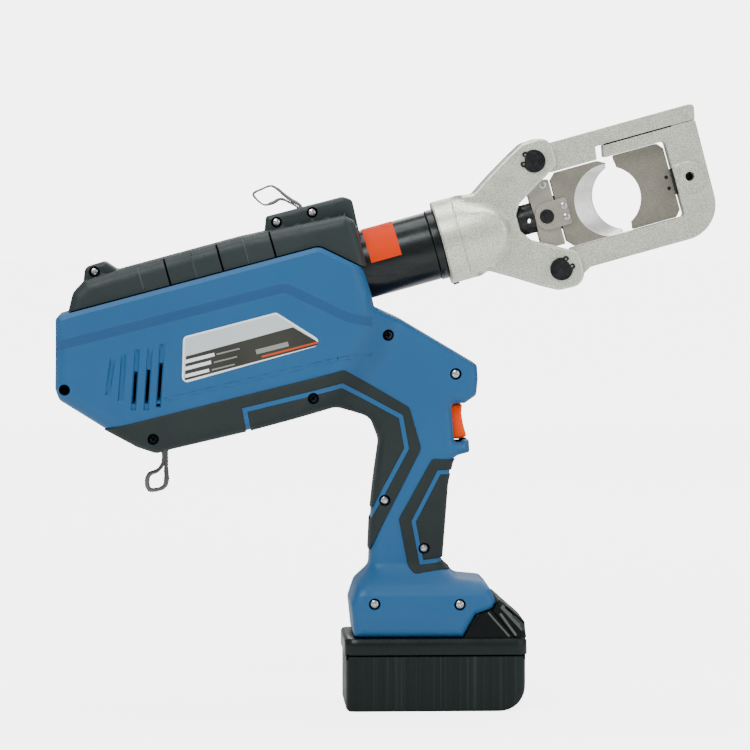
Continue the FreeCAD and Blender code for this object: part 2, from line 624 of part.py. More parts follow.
node("blade_key", tilted(block("blade_key", ("154", "-5", "-10.4"), ("157.4", "-0.1", "6.6"))))

# ---- Blades --------------------------------------------------------------------------------


def flared(name, first, second):
    """A round tool that spreads from one circle to another; each is (u, v, y, radius)."""
    rings = []
    for place, (u, v, y, radius) in enumerate((first, second)):
        ring = doc.addObject("Part::Circle", "%s_ring_%d" % (name, place))
        ring.Radius = radius
        ring.Placement = FreeCAD.Placement(Vector(u, y, v), FreeCAD.Rotation(Vector(1, 0, 0), 90))
        rings.append(ring)
    loft = doc.addObject("Part::Loft", name)
    loft.Sections = rings
    loft.Solid = True
    loft.Ruled = True
    return loft


FIXED = [
    (121.7, 24.5, 1), (150.8, 24.5, 2), (154.2, 20.4, 1), (154.2, -20.4, 1), (150.8, -24.5, 2),
    (121.7, -24.5, 1), (121.7, -19.2), ("arc", 132.3, -1.3), (121.7, 16.6),
]
fixed_plate = prism("fixed_plate", FIXED, "Dims.blade_gap", "Dims.blade_outer")
fixed_bevel = flared("fixed_bevel", (111.2, -1.3, -0.45, 20.2), (125.5, -1.3, 8.8, 22.9))
dowel_ways = []
dowels = []
for number, v in enumerate((1.9, -5.4)):
    dowel_ways.append(rod("dowel_way_%d" % number, "y", (151.1, -1, v), 1.25, 10))
    dowels.append(rod("dowel_%d" % number, "y", (151.1, 0.6, v), 1.2, 6.8))
node("fixed_blade", tilted(cut("fixed_blade", fixed_plate, [fixed_bevel] + dowel_ways)))
node("fixed_blade_dowels", tilted(fuse("fixed_blade_dowels", dowels)))
MOVING = [
    (77.8, 20, 1), (82, 24.2, 1), (110.1, 24.2, 2), (115, 21.6, 0.6), (115, 18), ("arc", 101.3, -2.1),
    (115, -22.2), (115, -24.2, 0.4), (82, -24.4, 1), (77.8, -20, 1),
]
moving_plate = prism("moving_plate", MOVING, "-Dims.blade_outer", "-Dims.blade_gap")
moving_bevel = flared("moving_bevel", (110.9, -2.1, -8.6, 23.4), (123.9, -2.1, 0.5, 21.45))
blade_ways = [
    rod("blade_way_0", "y", (81.8, -12, 2.5), 1.5, 14), rod("blade_way_1", "y", (81.7, -12, -4.8), 1.5, 14),
]
node("moving_blade", tilted(cut("moving_blade", moving_plate, [moving_bevel] + blade_ways)))
BLOCK = [(61.9, 21.5, 3), (76.7, 21.5, 1), (76.7, -21.5, 1), (61.9, -21.5, 3)]
block_body = prism("block_body", BLOCK, "-Dims.block_half + 0.1", "Dims.block_half")
TONGUE = [(76, 10, 0), (86, 10, 1), (86, -12, 1), (76, -12, 0)]
tongue = prism("tongue", TONGUE, "0.05", "Dims.block_half")
cross_way = rod("cross_way", "y", (69.6, -14, -1.4), 4.6, 30)
node("ram_head", tilted(cut("ram_head", fuse("head_solid", [block_body, tongue]), [cross_way])))
PLATE = [(62.1, 7.3, 8.3), (84.2, 7.6, 1.5), (84.2, -9.8, 1.5), (62.1, -9.9, 8.3)]
plate_blank = prism("plate_blank", PLATE, "-Dims.block_half - Dims.plate_thick", "-Dims.block_half + 0.05")
node("blade_plate", tilted(cut("blade_plate", plate_blank, [cross_way] + blade_ways)))
node("ram_cross_pin", tilted(rod("ram_cross_pin", "y", (69.6, -10.9, -1.4), 4.5, 18.6)))
node("blade_screws", tilted(fuse("blade_screws", [
    rod("blade_screw_0", "y", (81.8, -11.4, 2.5), 2, 1.15), rod("blade_shank_0", "y", (81.8, -10.4, 2.5), 1.4, 10),
    rod("blade_screw_1", "y", (81.7, -11.4, -4.8), 2, 1.15), rod("blade_shank_1", "y", (81.7, -10.4, -4.8), 1.4, 10),
])))

# ---- Trigger, switch and electronics -------------------------------------------------------

TRIGGER = [
    (-2, 194, 1), (18.6, 194.4, 1.2), (18, 188.5, 8), (19.2, 181.4, 8), (21.4, 173.6, 1.4),
    (16.1, 172, 1), (-2, 172.4, 1),
]
trigger = prism("trigger", TRIGGER, "-Dims.trigger_half", "Dims.trigger_half")
trigger = soften(trigger, -1, "2")
node("trigger", soften(trigger, 1, "2"))
node("trigger_switch", block("trigger_switch", ("-29", "-Dims.switch_half", "174"), ("-14", "Dims.switch_half", "194")))
trigger_coil = spring("trigger_coil", 2.4, 9.8, 3, 0.4)
trigger_coil.Placement = FreeCAD.Placement(Vector(-12.9, 0, 183), FreeCAD.Rotation(Vector(0, 1, 0), 90))
node("trigger_spring", trigger_coil)
node("circuit_board", block("circuit_board", ("-32.6", "-30", "70"), ("9", "30", "71.6")))
contacts = [block("contact_%d" % k, ("-33", str(y - 0.4), "50"), ("-22", str(y + 0.4), "60"))
            for k, y in enumerate((-9, 9))]
node("contact_block", fuse("contact_block", [
    block("contact_base", ("-33", "-16", "59.4"), ("-18", "16", "66"))] + contacts))
node("wire_harness", prism("wire_harness", [
    (-24, 72, 1), (-20, 72, 1), (-18, 120, 20), (-21, 171.6, 1), (-25, 171.6, 1), (-22, 120, 20)], "-2.4", "2.4"))

# ---- Motor, gearbox and pump ---------------------------------------------------------------

drop = -size("motor_drop")
can = rod("can", "x", (-232, 0, drop), "Dims.motor_radius", 56)
can_room = rod("can_room", "x", (-229, 0, drop), "Dims.motor_bore", 50)
can_way = rod("can_way", "x", (-235, 0, drop), "Dims.shaft_radius + 0.3", 70)
node("motor_can", tilted(cut("motor_can", can, [can_room, can_way])))
rotor = rod("rotor", "x", (-224, 0, drop), "Dims.rotor_radius", 38)
spindle = rod("spindle", "x", (-234, 0, drop), "Dims.shaft_radius", 62)
fan = rod("fan", "x", (-184.5, 0, drop), 20, 3)
node("motor_rotor", tilted(fuse("motor_rotor", [rotor, spindle, fan])))
case = rod("case", "x", (-175.6, 0, drop), "Dims.gearbox_radius", 28)
case_room = rod("case_room", "x", (-176, 0, drop), 6, 10)
case_exit = rod("case_exit", "x", (-160, 0, drop), "Dims.cam_shaft + 0.3", 20)
node("gearbox_case", tilted(cut("gearbox_case", case, [case_room, case_exit])))
PUMP = [(-147.2, 17, 3), (-96.2, 17, 3), (-96.2, -48, 3), (-147.2, -48, 3)]
pump = prism("pump", PUMP, "-27", "27")
cam_room = rod("cam_room", "x", (-148, 0, drop), "Dims.cam_room", 28)
plunger_way = rod("plunger_way", "z", (-130, 0, drop), "Dims.plunger_bore", 36)
valve_way = rod("valve_way", "y", (-106, -28, -38), 4.3, 20)
node("pump_block", tilted(cut("pump_block", pump, [cam_room, plunger_way, valve_way])))
node("relief_valve", tilted(rod("relief_valve", "y", (-106, -30, -38), 4.2, 21.5)))
cam_stem = rod("cam_stem", "x", (-158, 0, drop), "Dims.cam_shaft", 36)
cam_disc = rod("cam_disc", "x", (-134, 0, drop - size("cam_offset")), "Dims.cam_radius", 8)
node("eccentric_shaft", tilted(fuse("eccentric_shaft", [cam_stem, cam_disc])))
lift = drop + size("cam_radius") + size("cam_offset") + 0.4
node("pump_plunger", tilted(rod("pump_plunger", "z", (-130, 0, lift), "Dims.plunger_radius", 20)))
TANK = [(-96, 25, 3), (-56, 25, 3), (-56, 33.6, 3), (-96, 33.6, 3)]
node("oil_reservoir", tilted(prism("oil_reservoir", TANK, "-19", "19")))

# ---- Battery pack --------------------------------------------------------------------------

LOWER_CASE = [(-57, 0.0, 8), (-57, 35.3, 1), (57.6, 35.3, 1), (57.6, 0.0, 12)]
UPPER_CASE = [
    (-57, 35.4, 0.6), (-57, 46.3, 2.5), (17.6, 46.4, 0.5), (25, 60.9, 2), (36.8, 64.8, 1),
    (52, 60.2, 3), (57.4, 55, 2), (57.8, 46.6, 1), (57.6, 35.4, 0.6),
]
lower_case = prism("lower_case", LOWER_CASE, "-Dims.pack_half", "Dims.pack_half")
lower_case = soften(soften(lower_case, -1, "Dims.pack_round"), 1, "Dims.pack_round")
lower_room = prism("lower_room", [(-54, 2.2, 6), (-54, 36, 0.5), (54.6, 36, 0.5), (54.6, 2.2, 10)],
                   "-Dims.pack_half + Dims.pack_wall", "Dims.pack_half - Dims.pack_wall")
node("battery_case_lower", cut("battery_case_lower", lower_case, [lower_room]))
upper_case = prism("upper_case", UPPER_CASE, "-Dims.pack_half", "Dims.pack_half")
upper_case = soften(soften(upper_case, -1, "3"), 1, "3")
upper_room = block("upper_room", ("-54", "-35", "35"), ("54", "35", "43.4"))
rails = block("rails", ("-46", "-Dims.rail_half", "45"), ("22", "Dims.rail_half", "56.6"))
rail_grooves = []
for side in (-1, 1):
    low = -29 if side < 0 else 24
    rail_grooves.append(block("rail_groove_%d" % side, ("-50", str(low), "47.4"), ("17.4", str(low + 5), "51.4")))
    low = -12 if side < 0 else 7.2
    rail_grooves.append(block("blade_slot_%d" % side, ("-47", str(low), "48.6"), ("-20", str(low + 4.8), "58")))
button_room = block("button_room", ("48", "-13.4", "44"), ("60", "13.4", "54.4"))
nose_room = block("nose_room", ("26", "-34", "42"), ("46.5", "34", "56"))
case_solid = fuse("case_solid", [upper_case, rails])
node("battery_case_upper", cut("battery_case_upper", case_solid, [upper_room, nose_room, button_room] + rail_grooves))
BUTTON = [(52, 44.4, 0.6), (58.6, 44.4, 1.5), (58.2, 54, 2), (52, 54, 0.6)]
node("battery_button", prism("battery_button", BUTTON, "-13", "13"))
button_coil = spring("button_coil", 1.2, 2.9, 2.6, 0.3)
button_coil.Placement = FreeCAD.Placement(Vector(48.5, 0, 49.2), FreeCAD.Rotation(Vector(0, 1, 0), 90))
node("button_spring", button_coil)
cells = []
for column in range(5):
    for layer in range(2):
        base = ((column - 2) * size("cell_pitch"), -size("cell_length") / 2, 12 + layer * 18.8)
        cells.append(rod("cell_%d_%d" % (column, layer), "y", base, "Dims.cell_radius", "Dims.cell_length"))
node("battery_cells", fuse("battery_cells", cells))
node("battery_terminals", fuse("battery_terminals", [
    block("terminal_%d" % k, ("-34", str(y), "48.7"), ("-24", str(y + 0.8), "55"))
    for k, y in enumerate((-11.6, 10.8))]))

# ---- Check and write -----------------------------------------------------------------------

doc.recompute()
os.makedirs("parts", exist_ok=True)
unsound = [thing.Label for thing in doc.Objects if "Invalid" in thing.State or "Error" in thing.State]
for name, thing in nodes.items():
    if thing.Shape.isNull() or not thing.Shape.isValid() or not thing.Shape.Solids:
        unsound.append(name)
if unsound:
    raise RuntimeError("These pieces are not sound: " + ", ".join(unsound))
for name, thing in nodes.items():
    thing.Shape.exportStep("parts/%s.step" % name)
    print(name, len(thing.Shape.Solids), round(thing.Shape.Volume))
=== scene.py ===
import bpy
import json
import math
import numpy as np
from mathutils import Matrix, Vector
from mathutils.geometry import delaunay_2d_cdt


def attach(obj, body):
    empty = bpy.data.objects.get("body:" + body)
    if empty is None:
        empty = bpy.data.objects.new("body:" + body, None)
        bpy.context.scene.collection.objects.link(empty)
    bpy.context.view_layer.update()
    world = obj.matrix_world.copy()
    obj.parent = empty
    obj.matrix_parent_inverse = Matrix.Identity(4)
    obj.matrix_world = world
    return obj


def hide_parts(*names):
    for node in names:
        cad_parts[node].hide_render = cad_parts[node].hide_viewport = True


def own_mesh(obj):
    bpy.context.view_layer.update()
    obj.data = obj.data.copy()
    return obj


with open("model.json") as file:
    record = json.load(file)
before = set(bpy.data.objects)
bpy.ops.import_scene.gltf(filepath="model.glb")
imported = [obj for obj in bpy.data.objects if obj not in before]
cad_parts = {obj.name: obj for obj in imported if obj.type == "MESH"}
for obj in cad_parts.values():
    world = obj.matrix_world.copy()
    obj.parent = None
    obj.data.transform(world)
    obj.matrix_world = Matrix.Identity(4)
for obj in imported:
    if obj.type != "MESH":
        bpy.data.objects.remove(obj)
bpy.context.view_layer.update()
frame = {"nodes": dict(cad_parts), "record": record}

MM = 0.001
TILT = math.radians(15.5)
HEAD = (5.1, 297.2)

# ---------------------------------------------------------------- outlines


def rounded(outline, steps=6):
    """Dense points of an outline of (x, z) or (x, z, radius) corners, in mm."""
    points = []
    count = len(outline)
    for k in range(count):
        a = np.array(outline[k - 1][:2], float)
        b = np.array(outline[k][:2], float)
        c = np.array(outline[(k + 1) % count][:2], float)
        radius = outline[k][2] if len(outline[k]) > 2 else 0
        u, v = a - b, c - b
        long_u, long_v = np.linalg.norm(u), np.linalg.norm(v)
        u, v = u / long_u, v / long_v
        half = math.acos(max(-1, min(1, float(u @ v)))) / 2
        if radius <= 0 or half > 1.55:
            points.append(b)
            continue
        reach = min(radius / math.tan(half), 0.49 * long_u, 0.49 * long_v)
        real = reach * math.tan(half)
        middle = (u + v) / np.linalg.norm(u + v)
        centre = b + middle * real / math.sin(half)
        start, end = b + u * reach - centre, b + v * reach - centre
        first = math.atan2(start[1], start[0])
        turn = (math.atan2(end[1], end[0]) - first + math.pi) % (2 * math.pi) - math.pi
        for i in range(steps + 1):
            angle = first + turn * i / steps
            points.append(centre + real * np.array([math.cos(angle), math.sin(angle)]))
    return np.array(points)


def circle(x, z, radius, count=28):
    return np.array([
        (x + radius * math.cos(2 * math.pi * i / count), z + radius * math.sin(2 * math.pi * i / count))
        for i in range(count)
    ])


def depth_in(points, loop):
    """Distance inside a closed loop; negative outside."""
    points = np.asarray(points, float)
    a, b = loop, np.roll(loop, -1, 0)
    edge = b - a
    length = np.maximum((edge ** 2).sum(1), 1e-12)
    out = np.empty(len(points))
    for low in range(0, len(points), 4000):
        p = points[low:low + 4000]
        w = p[:, None] - a[None]
        share = np.clip((w * edge).sum(2) / length, 0, 1)
        away = w - share[..., None] * edge
        near = np.sqrt((away ** 2).sum(2).min(1))
        rise = np.where(np.abs(edge[:, 1]) < 1e-12, 1e-12, edge[:, 1])
        crosses = (a[None, :, 1] > p[:, None, 1]) != (b[None, :, 1] > p[:, None, 1])
        at = a[None, :, 0] + edge[None, :, 0] * (p[:, None, 1] - a[None, :, 1]) / rise[None]
        inside = ((crosses & (p[:, None, 0] < at)).sum(1) % 2) == 1
        out[low:low + 4000] = np.where(inside, near, -near)
    return out


def resampled(loop, step):
    """The loop with extra points so that no side is longer than step."""
    points = []
    for a, b in zip(loop, np.roll(loop, -1, 0)):
        parts = max(1, int(np.linalg.norm(b - a) / step))
        for i in range(parts):
            points.append(a + (b - a) * i / parts)
    return np.array(points)


def offset(loop, distance):
    """The loop moved inwards (outwards if negative) along its corners' normals."""
    loop = np.asarray(loop, float)
    before, after = loop - np.roll(loop, 1, 0), np.roll(loop, -1, 0) - loop
    before /= np.maximum(np.linalg.norm(before, axis=1), 1e-9)[:, None]
    after /= np.maximum(np.linalg.norm(after, axis=1), 1e-9)[:, None]
    area = (loop[:, 0] * np.roll(loop[:, 1], -1) - np.roll(loop[:, 0], -1) * loop[:, 1]).sum()
    turn = 1 if area > 0 else -1
    n1 = np.stack([-before[:, 1], before[:, 0]], 1) * turn
    n2 = np.stack([-after[:, 1], after[:, 0]], 1) * turn
    normal = n1 + n2
    size = np.maximum(np.linalg.norm(normal, axis=1), 1e-9)
    normal /= size[:, None]
    reach = distance / np.maximum((normal * n1).sum(1), 0.4)
    return loop + normal * reach[:, None]


def smooth(value, low, high):
    """An eased step from 0 at low to 1 at high."""
    t = np.clip((value - low) / (high - low), 0, 1)
    return t * t * (3 - 2 * t)


def drop(depth, radius):
    """How far a rounded edge falls at a given depth in from it."""
    d = np.clip(depth, 0, radius)
    return radius - np.sqrt(np.maximum(radius ** 2 - (radius - d) ** 2, 0))


# ---------------------------------------------------------------- meshes


def add_mesh(name, vertices, faces, body, material, replaces=(), slot=None, angle=32):
    """A mesh that rides on a body; edges sharper than angle stay sharp."""
    mesh = bpy.data.meshes.new(name)
    mesh.from_pydata([tuple(v) for v in vertices], [], faces)
    mesh.validate()
    mesh.polygons.foreach_set("use_smooth", [True] * len(mesh.polygons))
    mesh.set_sharp_from_angle(angle=math.radians(angle))
    mesh.update()
    thing = bpy.data.objects.new(name, mesh)
    bpy.context.scene.collection.objects.link(thing)
    mesh.materials.append(material)
    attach(thing, body)
    if replaces:
        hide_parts(*replaces)
    return thing


def relief(name, loops, keep, height, foot, body, material, side=-1, spots=(), place=None,
           paint=None, paints=(), **extra):
    """A surface over the X, Z plane: loops give its lines, keep picks its faces, height gives
    how far it stands off the mid plane and foot where its border's wall ends, all in mm.
    paint gives each face's place in the list of the material and then the paints."""
    coords, edges = [], []
    for loop in loops:
        start = len(coords)
        coords += [tuple(p) for p in loop]
        edges += [(start + i, start + (i + 1) % len(loop)) for i in range(len(loop))]
    coords += [tuple(p) for p in spots]
    flat, _, faces, _, _, _ = delaunay_2d_cdt([Vector(c) for c in coords], edges, [], 0, 1e-4, False)
    flat = np.array([tuple(v) for v in flat])
    faces = np.array([f for f in faces if len(f) == 3])
    middles = flat[faces].mean(1)
    faces = faces[keep(middles)]
    used = np.unique(faces)
    renumber = -np.ones(len(flat), int)
    renumber[used] = np.arange(len(used))
    flat, faces = flat[used], renumber[faces]
    top = height(flat)
    low = foot(flat)
    a, b, c = flat[faces[:, 0]], flat[faces[:, 1]], flat[faces[:, 2]]
    area = (b[:, 0] - a[:, 0]) * (c[:, 1] - a[:, 1]) - (b[:, 1] - a[:, 1]) * (c[:, 0] - a[:, 0])
    faces[area < 0] = faces[area < 0][:, ::-1]
    directed = {}
    for f in faces:
        for i in range(3):
            directed[(int(f[i]), int(f[(i + 1) % 3]))] = True
    border = [e for e in directed if (e[1], e[0]) not in directed]
    vertices = [(x * MM, side * h * MM, z * MM) for (x, z), h in zip(flat, top)]
    wall = {}
    for e in border:
        for v in e:
            if v not in wall:
                wall[v] = len(vertices)
                vertices.append((flat[v][0] * MM, side * low[v] * MM, flat[v][1] * MM))
    polygons = [tuple(int(i) for i in f) for f in faces]
    polygons += [(p, wall[p], wall[q], q) for p, q in border]
    if side > 0:
        polygons = [f[::-1] for f in polygons]
    if place is not None:
        vertices = [tuple(place @ Vector(v)) for v in vertices]
    thing = add_mesh(name, vertices, polygons, body, material, **extra)
    if paint is not None:
        for look in paints:
            thing.data.materials.append(look)
        chosen = [int(c) for c in paint(flat[faces].mean(1))] + [0] * len(border)
        thing.data.polygons.foreach_set("material_index", chosen)
    return thing


def grid(box, step, phase=0.37):
    """Staggered points over a box (low x, high x, low z, high z)."""
    xs = np.arange(box[0] + phase, box[1], step)
    zs = np.arange(box[2] + phase, box[3], step)
    return [(x + (0.5 * step if j % 2 else 0), z) for j, z in enumerate(zs) for x in xs]


HEAD_PLACE = Matrix.Translation((HEAD[0] * MM, 0, HEAD[1] * MM)) @ Matrix.Rotation(-TILT, 4, "Y")


def head_to_world(points):
    """Points along and across the tilted cylinder's axis, in the tool's own X and Z."""
    c, s = math.cos(TILT), math.sin(TILT)
    p = np.asarray(points, float)
    return np.stack([HEAD[0] + p[:, 0] * c - p[:, 1] * s, HEAD[1] + p[:, 0] * s + p[:, 1] * c], 1)


# ---------------------------------------------------------------- materials


def new_material(name):
    material = bpy.data.materials.new(name)
    material.use_nodes = True
    nodes = material.node_tree.nodes
    nodes.clear()
    out = nodes.new("ShaderNodeOutputMaterial")
    shader = nodes.new("ShaderNodeBsdfPrincipled")
    material.node_tree.links.new(shader.outputs[0], out.inputs[0])
    coords = nodes.new("ShaderNodeTexCoord")
    return material, nodes, material.node_tree.links, shader, coords.outputs["Object"]


def noise(nodes, links, coords, scale, detail=3, stretch=None, rough=0.55, turn=TILT):
    node = nodes.new("ShaderNodeTexNoise")
    node.inputs["Scale"].default_value = scale
    node.inputs["Detail"].default_value = detail
    node.inputs["Roughness"].default_value = rough
    source = coords
    if stretch:
        mapping = nodes.new("ShaderNodeMapping")
        mapping.inputs["Scale"].default_value = stretch
        mapping.inputs["Rotation"].default_value = (0, turn, 0)
        links.new(coords, mapping.inputs["Vector"])
        source = mapping.outputs[0]
    links.new(source, node.inputs["Vector"])
    return node.outputs["Fac"]


def ramp(nodes, links, source, stops):
    node = nodes.new("ShaderNodeValToRGB")
    node.color_ramp.elements[0].position = stops[0][0]
    node.color_ramp.elements[0].color = (*stops[0][1], 1)
    node.color_ramp.elements[1].position = stops[-1][0]
    node.color_ramp.elements[1].color = (*stops[-1][1], 1)
    for position, colour in stops[1:-1]:
        node.color_ramp.elements.new(position).color = (*colour, 1)
    links.new(source, node.inputs[0])
    return node.outputs[0]


def rescale(nodes, links, source, low, high):
    node = nodes.new("ShaderNodeMapRange")
    node.inputs["From Min"].default_value = 0.3
    node.inputs["From Max"].default_value = 0.7
    node.inputs["To Min"].default_value = low
    node.inputs["To Max"].default_value = high
    links.new(source, node.inputs["Value"])
    return node.outputs[0]


def bumped(nodes, links, shader, layers):
    """Stacks bump layers of (source, strength, distance in metres)."""
    last = None
    for source, strength, distance in layers:
        bump = nodes.new("ShaderNodeBump")
        bump.inputs["Strength"].default_value = strength
        bump.inputs["Distance"].default_value = distance
        links.new(source, bump.inputs["Height"])
        if last is not None:
            links.new(last, bump.inputs["Normal"])
        last = bump.outputs[0]
    links.new(last, shader.inputs["Normal"])


def moulded(name, dark, light, rough=(0.42, 0.58), grain=1400, depth=0.00004, shine=0.3, streak=None):
    """Moulded plastic or rubber: fine spark texture, faint flow marks and dulling."""
    material, nodes, links, shader, coords = new_material(name)
    broad = noise(nodes, links, coords, 14, 2)
    fine = noise(nodes, links, coords, grain, 2)
    links.new(ramp(nodes, links, broad, [(0.3, dark), (0.7, light)]), shader.inputs["Base Color"])
    links.new(rescale(nodes, links, noise(nodes, links, coords, 60, 3), *rough),
              shader.inputs["Roughness"])
    layers = [(fine, 0.35, depth)]
    if streak:
        bands = noise(nodes, links, coords, 300, 3, streak, 0.8, 0)
        layers.append((bands, 0.8, 0.0005))
        tint = ramp(nodes, links, bands,
                    [(0.42, dark), (0.56, light), (0.66, tuple(2.6 * c for c in light))])
        links.new(tint, shader.inputs["Base Color"])
    bumped(nodes, links, shader, layers)
    shader.inputs["Specular IOR Level"].default_value = shine
    return material


def metal(name, dark, light, rough=(0.25, 0.4), grain=500, depth=0.00003, metallic=1.0,
          stretch=None, speck=0.0):
    """Bare or plated steel: tone mottling, grain and uneven shine."""
    material, nodes, links, shader, coords = new_material(name)
    tone = noise(nodes, links, coords, grain, 4, stretch, 0.7)
    links.new(ramp(nodes, links, tone, [(0.38, dark), (0.62, light)]), shader.inputs["Base Color"])
    links.new(rescale(nodes, links, noise(nodes, links, coords, 90, 3), *rough),
              shader.inputs["Roughness"])
    layers = [(tone, 0.3, depth)]
    if speck:
        cells = nodes.new("ShaderNodeTexVoronoi")
        cells.inputs["Scale"].default_value = 900
        links.new(coords, cells.inputs["Vector"])
        layers.append((cells.outputs["Distance"], speck, 0.00006))
    bumped(nodes, links, shader, layers)
    shader.inputs["Metallic"].default_value = metallic
    return material


BLUE = moulded("blue_nylon", (0.0125, 0.094, 0.232), (0.0150, 0.106, 0.258), (0.40, 0.52), 1500, 0.00004)
# A darker copy of the blue: painted shade on the sloped band below the raised upper panel.
BLUE_BAND_SHADED = moulded("blue_band_painted_shade", (0.0095, 0.072, 0.195), (0.011, 0.082, 0.215), (0.45, 0.55), 1500,
                    0.00004)
BLACK = moulded("black_nylon", (0.017, 0.026, 0.027), (0.024, 0.034, 0.035), (0.42, 0.56), 1300, 0.00006)
RUBBER = moulded("grip_rubber", (0.011, 0.018, 0.018), (0.016, 0.024, 0.024), (0.58, 0.72), 1100, 0.00009)
# A paler copy of the cover's nylon: painted highlight on the slats' rear edges.
SLAT_HIGHLIGHT = moulded("slat_painted_highlight", (0.045, 0.062, 0.064), (0.062, 0.082, 0.084), (0.5, 0.6), 1300, 0.00006)
PACK = moulded("pack_nylon", (0.0040, 0.0082, 0.0076), (0.0058, 0.0105, 0.0098), (0.26, 0.36), 1300,
               0.00002, 0.24)
# A darker copy of the pack's nylon: painted shade on the nose's side faces.
NOSE_SHADED = moulded("nose_nylon_shaded", (0.0016, 0.0030, 0.0029), (0.0026, 0.0046, 0.0044), (0.30, 0.40), 1300,
                    0.00002, 0.14)
# A pale grey: painted highlights on the nose's folds.
NOSE_HIGHLIGHT = moulded("nose_fold_painted_highlight", (0.060, 0.070, 0.064), (0.085, 0.098, 0.090), (0.25, 0.35), 1300,
                    0.00002, 0.5)
ORANGE = moulded("orange_nylon", (0.92, 0.060, 0.001), (1.0, 0.078, 0.002), (0.35, 0.45), 1200,
                 0.00002, 0.15)
STICKER = moulded("orange_film", (0.66, 0.034, 0.0), (0.74, 0.043, 0.0), (0.45, 0.55), 300, 0.00002, 0.08)
LABEL_WHITE = moulded("label_white", (0.88, 0.90, 0.95), (0.94, 0.95, 1.0), (0.25, 0.4), 300,
                      0.00001, 0.5)
LABEL_SILVER = moulded("label_silver", (0.48, 0.56, 0.58), (0.62, 0.68, 0.70), (0.30, 0.4), 900, 0.00001)
LABEL_DARK = moulded("label_dark", (0.012, 0.012, 0.010), (0.045, 0.045, 0.038), (0.25, 0.4), 900,
                     0.00001)
LABEL_LINE = moulded("label_line", (0.55, 0.060, 0.004), (0.66, 0.075, 0.006), (0.25, 0.4), 300, 0.00001)
LABEL_GREY = moulded("label_grey", (0.15, 0.15, 0.14), (0.28, 0.28, 0.26), (0.25, 0.4), 900, 0.00001)
PACK_SIDE = moulded("pack_side", (0.0040, 0.0088, 0.0082), (0.0058, 0.0115, 0.0105), (0.40, 0.5), 1300,
                    0.00003, 0.22, (1, 1, 0.004))
DARK_SCREW = metal("dark_screw", (0.008, 0.010, 0.014), (0.02, 0.024, 0.03), (0.3, 0.45), 500,
                   0.00002, 0.6)
# Near black: painted shade in seams, slots, grooves, wells and behind openings.
PAINTED_SHADE = moulded("deep_shade", (0.0010, 0.0011, 0.0011), (0.0016, 0.0017, 0.0017), (0.8, 0.9), 900,
              0.00001, 0.05)
FORGED = metal("plated_forging", (0.40, 0.45, 0.35), (0.99, 1.0, 0.86), (0.30, 0.44), 1400, 0.00014, 0.6,
               None, 0.25)
BLADE = metal("ground_blade", (0.22, 0.205, 0.165), (0.42, 0.395, 0.34), (0.34, 0.48), 500, 0.00003, 0.8,
              (1, 1, 14))
HOLDER = metal("ground_holder", (0.34, 0.325, 0.27), (0.56, 0.54, 0.46), (0.34, 0.46), 900, 0.00004, 0.8,
               (1, 1, 5))
# Near-white steel: painted highlight on the yoke's edge bevels and the blades' crescents.
BEVEL_HIGHLIGHT = metal("bevel_painted_highlight", (0.84, 0.87, 0.82), (0.97, 0.99, 0.95), (0.28, 0.36), 300, 0.00001, 0.7)
OXIDE = metal("black_oxide", (0.018, 0.019, 0.020), (0.040, 0.042, 0.043), (0.28, 0.42), 400,
              0.00002, 0.75)
TUBE = metal("blackened_tube", (0.010, 0.013, 0.014), (0.020, 0.024, 0.025), (0.20, 0.30), 200, 0.00001,
             0.6, (0.2, 1, 1))
ZINC = metal("zinc_steel", (0.50, 0.51, 0.50), (0.72, 0.73, 0.71), (0.22, 0.34), 600, 0.00002)
ALLOY = metal("pump_alloy", (0.45, 0.46, 0.47), (0.60, 0.61, 0.62), (0.35, 0.5), 500, 0.00003)
COPPER = metal("terminal_brass", (0.62, 0.45, 0.18), (0.78, 0.58, 0.26), (0.25, 0.4), 500, 0.00002)
WEB = moulded("woven_tape", (0.085, 0.090, 0.085), (0.20, 0.21, 0.195), (0.75, 0.9), 1600, 0.00025)
BOARD = moulded("board_green", (0.012, 0.12, 0.05), (0.02, 0.16, 0.07), (0.3, 0.4), 400, 0.00002)
WIRE = moulded("wire_red", (0.38, 0.015, 0.015), (0.48, 0.03, 0.025), (0.4, 0.5), 400, 0.00002)
CELL = moulded("cell_sleeve", (0.04, 0.22, 0.26), (0.05, 0.27, 0.31), (0.3, 0.4), 400, 0.00001)
SEAL = moulded("seal_rubber", (0.015, 0.015, 0.015), (0.025, 0.025, 0.025), (0.5, 0.6), 900, 0.00003)

SLOT_LOOKS = {
    "blue_plastic": BLUE, "dark_plastic": BLACK, "grip_rubber": RUBBER, "orange_plastic": ORANGE,
    "zinc_steel": ZINC, "label_film": LABEL_WHITE, "webbing": WEB, "satin_steel": ZINC,
    "orange_film": STICKER, "black_steel": OXIDE, "seal_rubber": SEAL, "spring_steel": ZINC,
    "forged_steel": FORGED, "blade_steel": BLADE, "board": BOARD, "wire_insulation": WIRE,
    "pump_alloy": ALLOY, "cell_can": CELL, "terminal_brass": COPPER,
}
NODE_LOOKS = {"cylinder_barrel": TUBE, "lock_ring": TUBE, "ram_head": HOLDER, "blade_plate": HOLDER,
              "blade_screws": ZINC}
for part in frame["record"]["subparts"]:
    thing = frame["nodes"][part["node"]]
    look = NODE_LOOKS.get(part["node"], SLOT_LOOKS[part["material_slot"]])
    thing.data.materials.clear()
    thing.data.materials.append(look)

# ---------------------------------------------------------------- housing, seen from the side

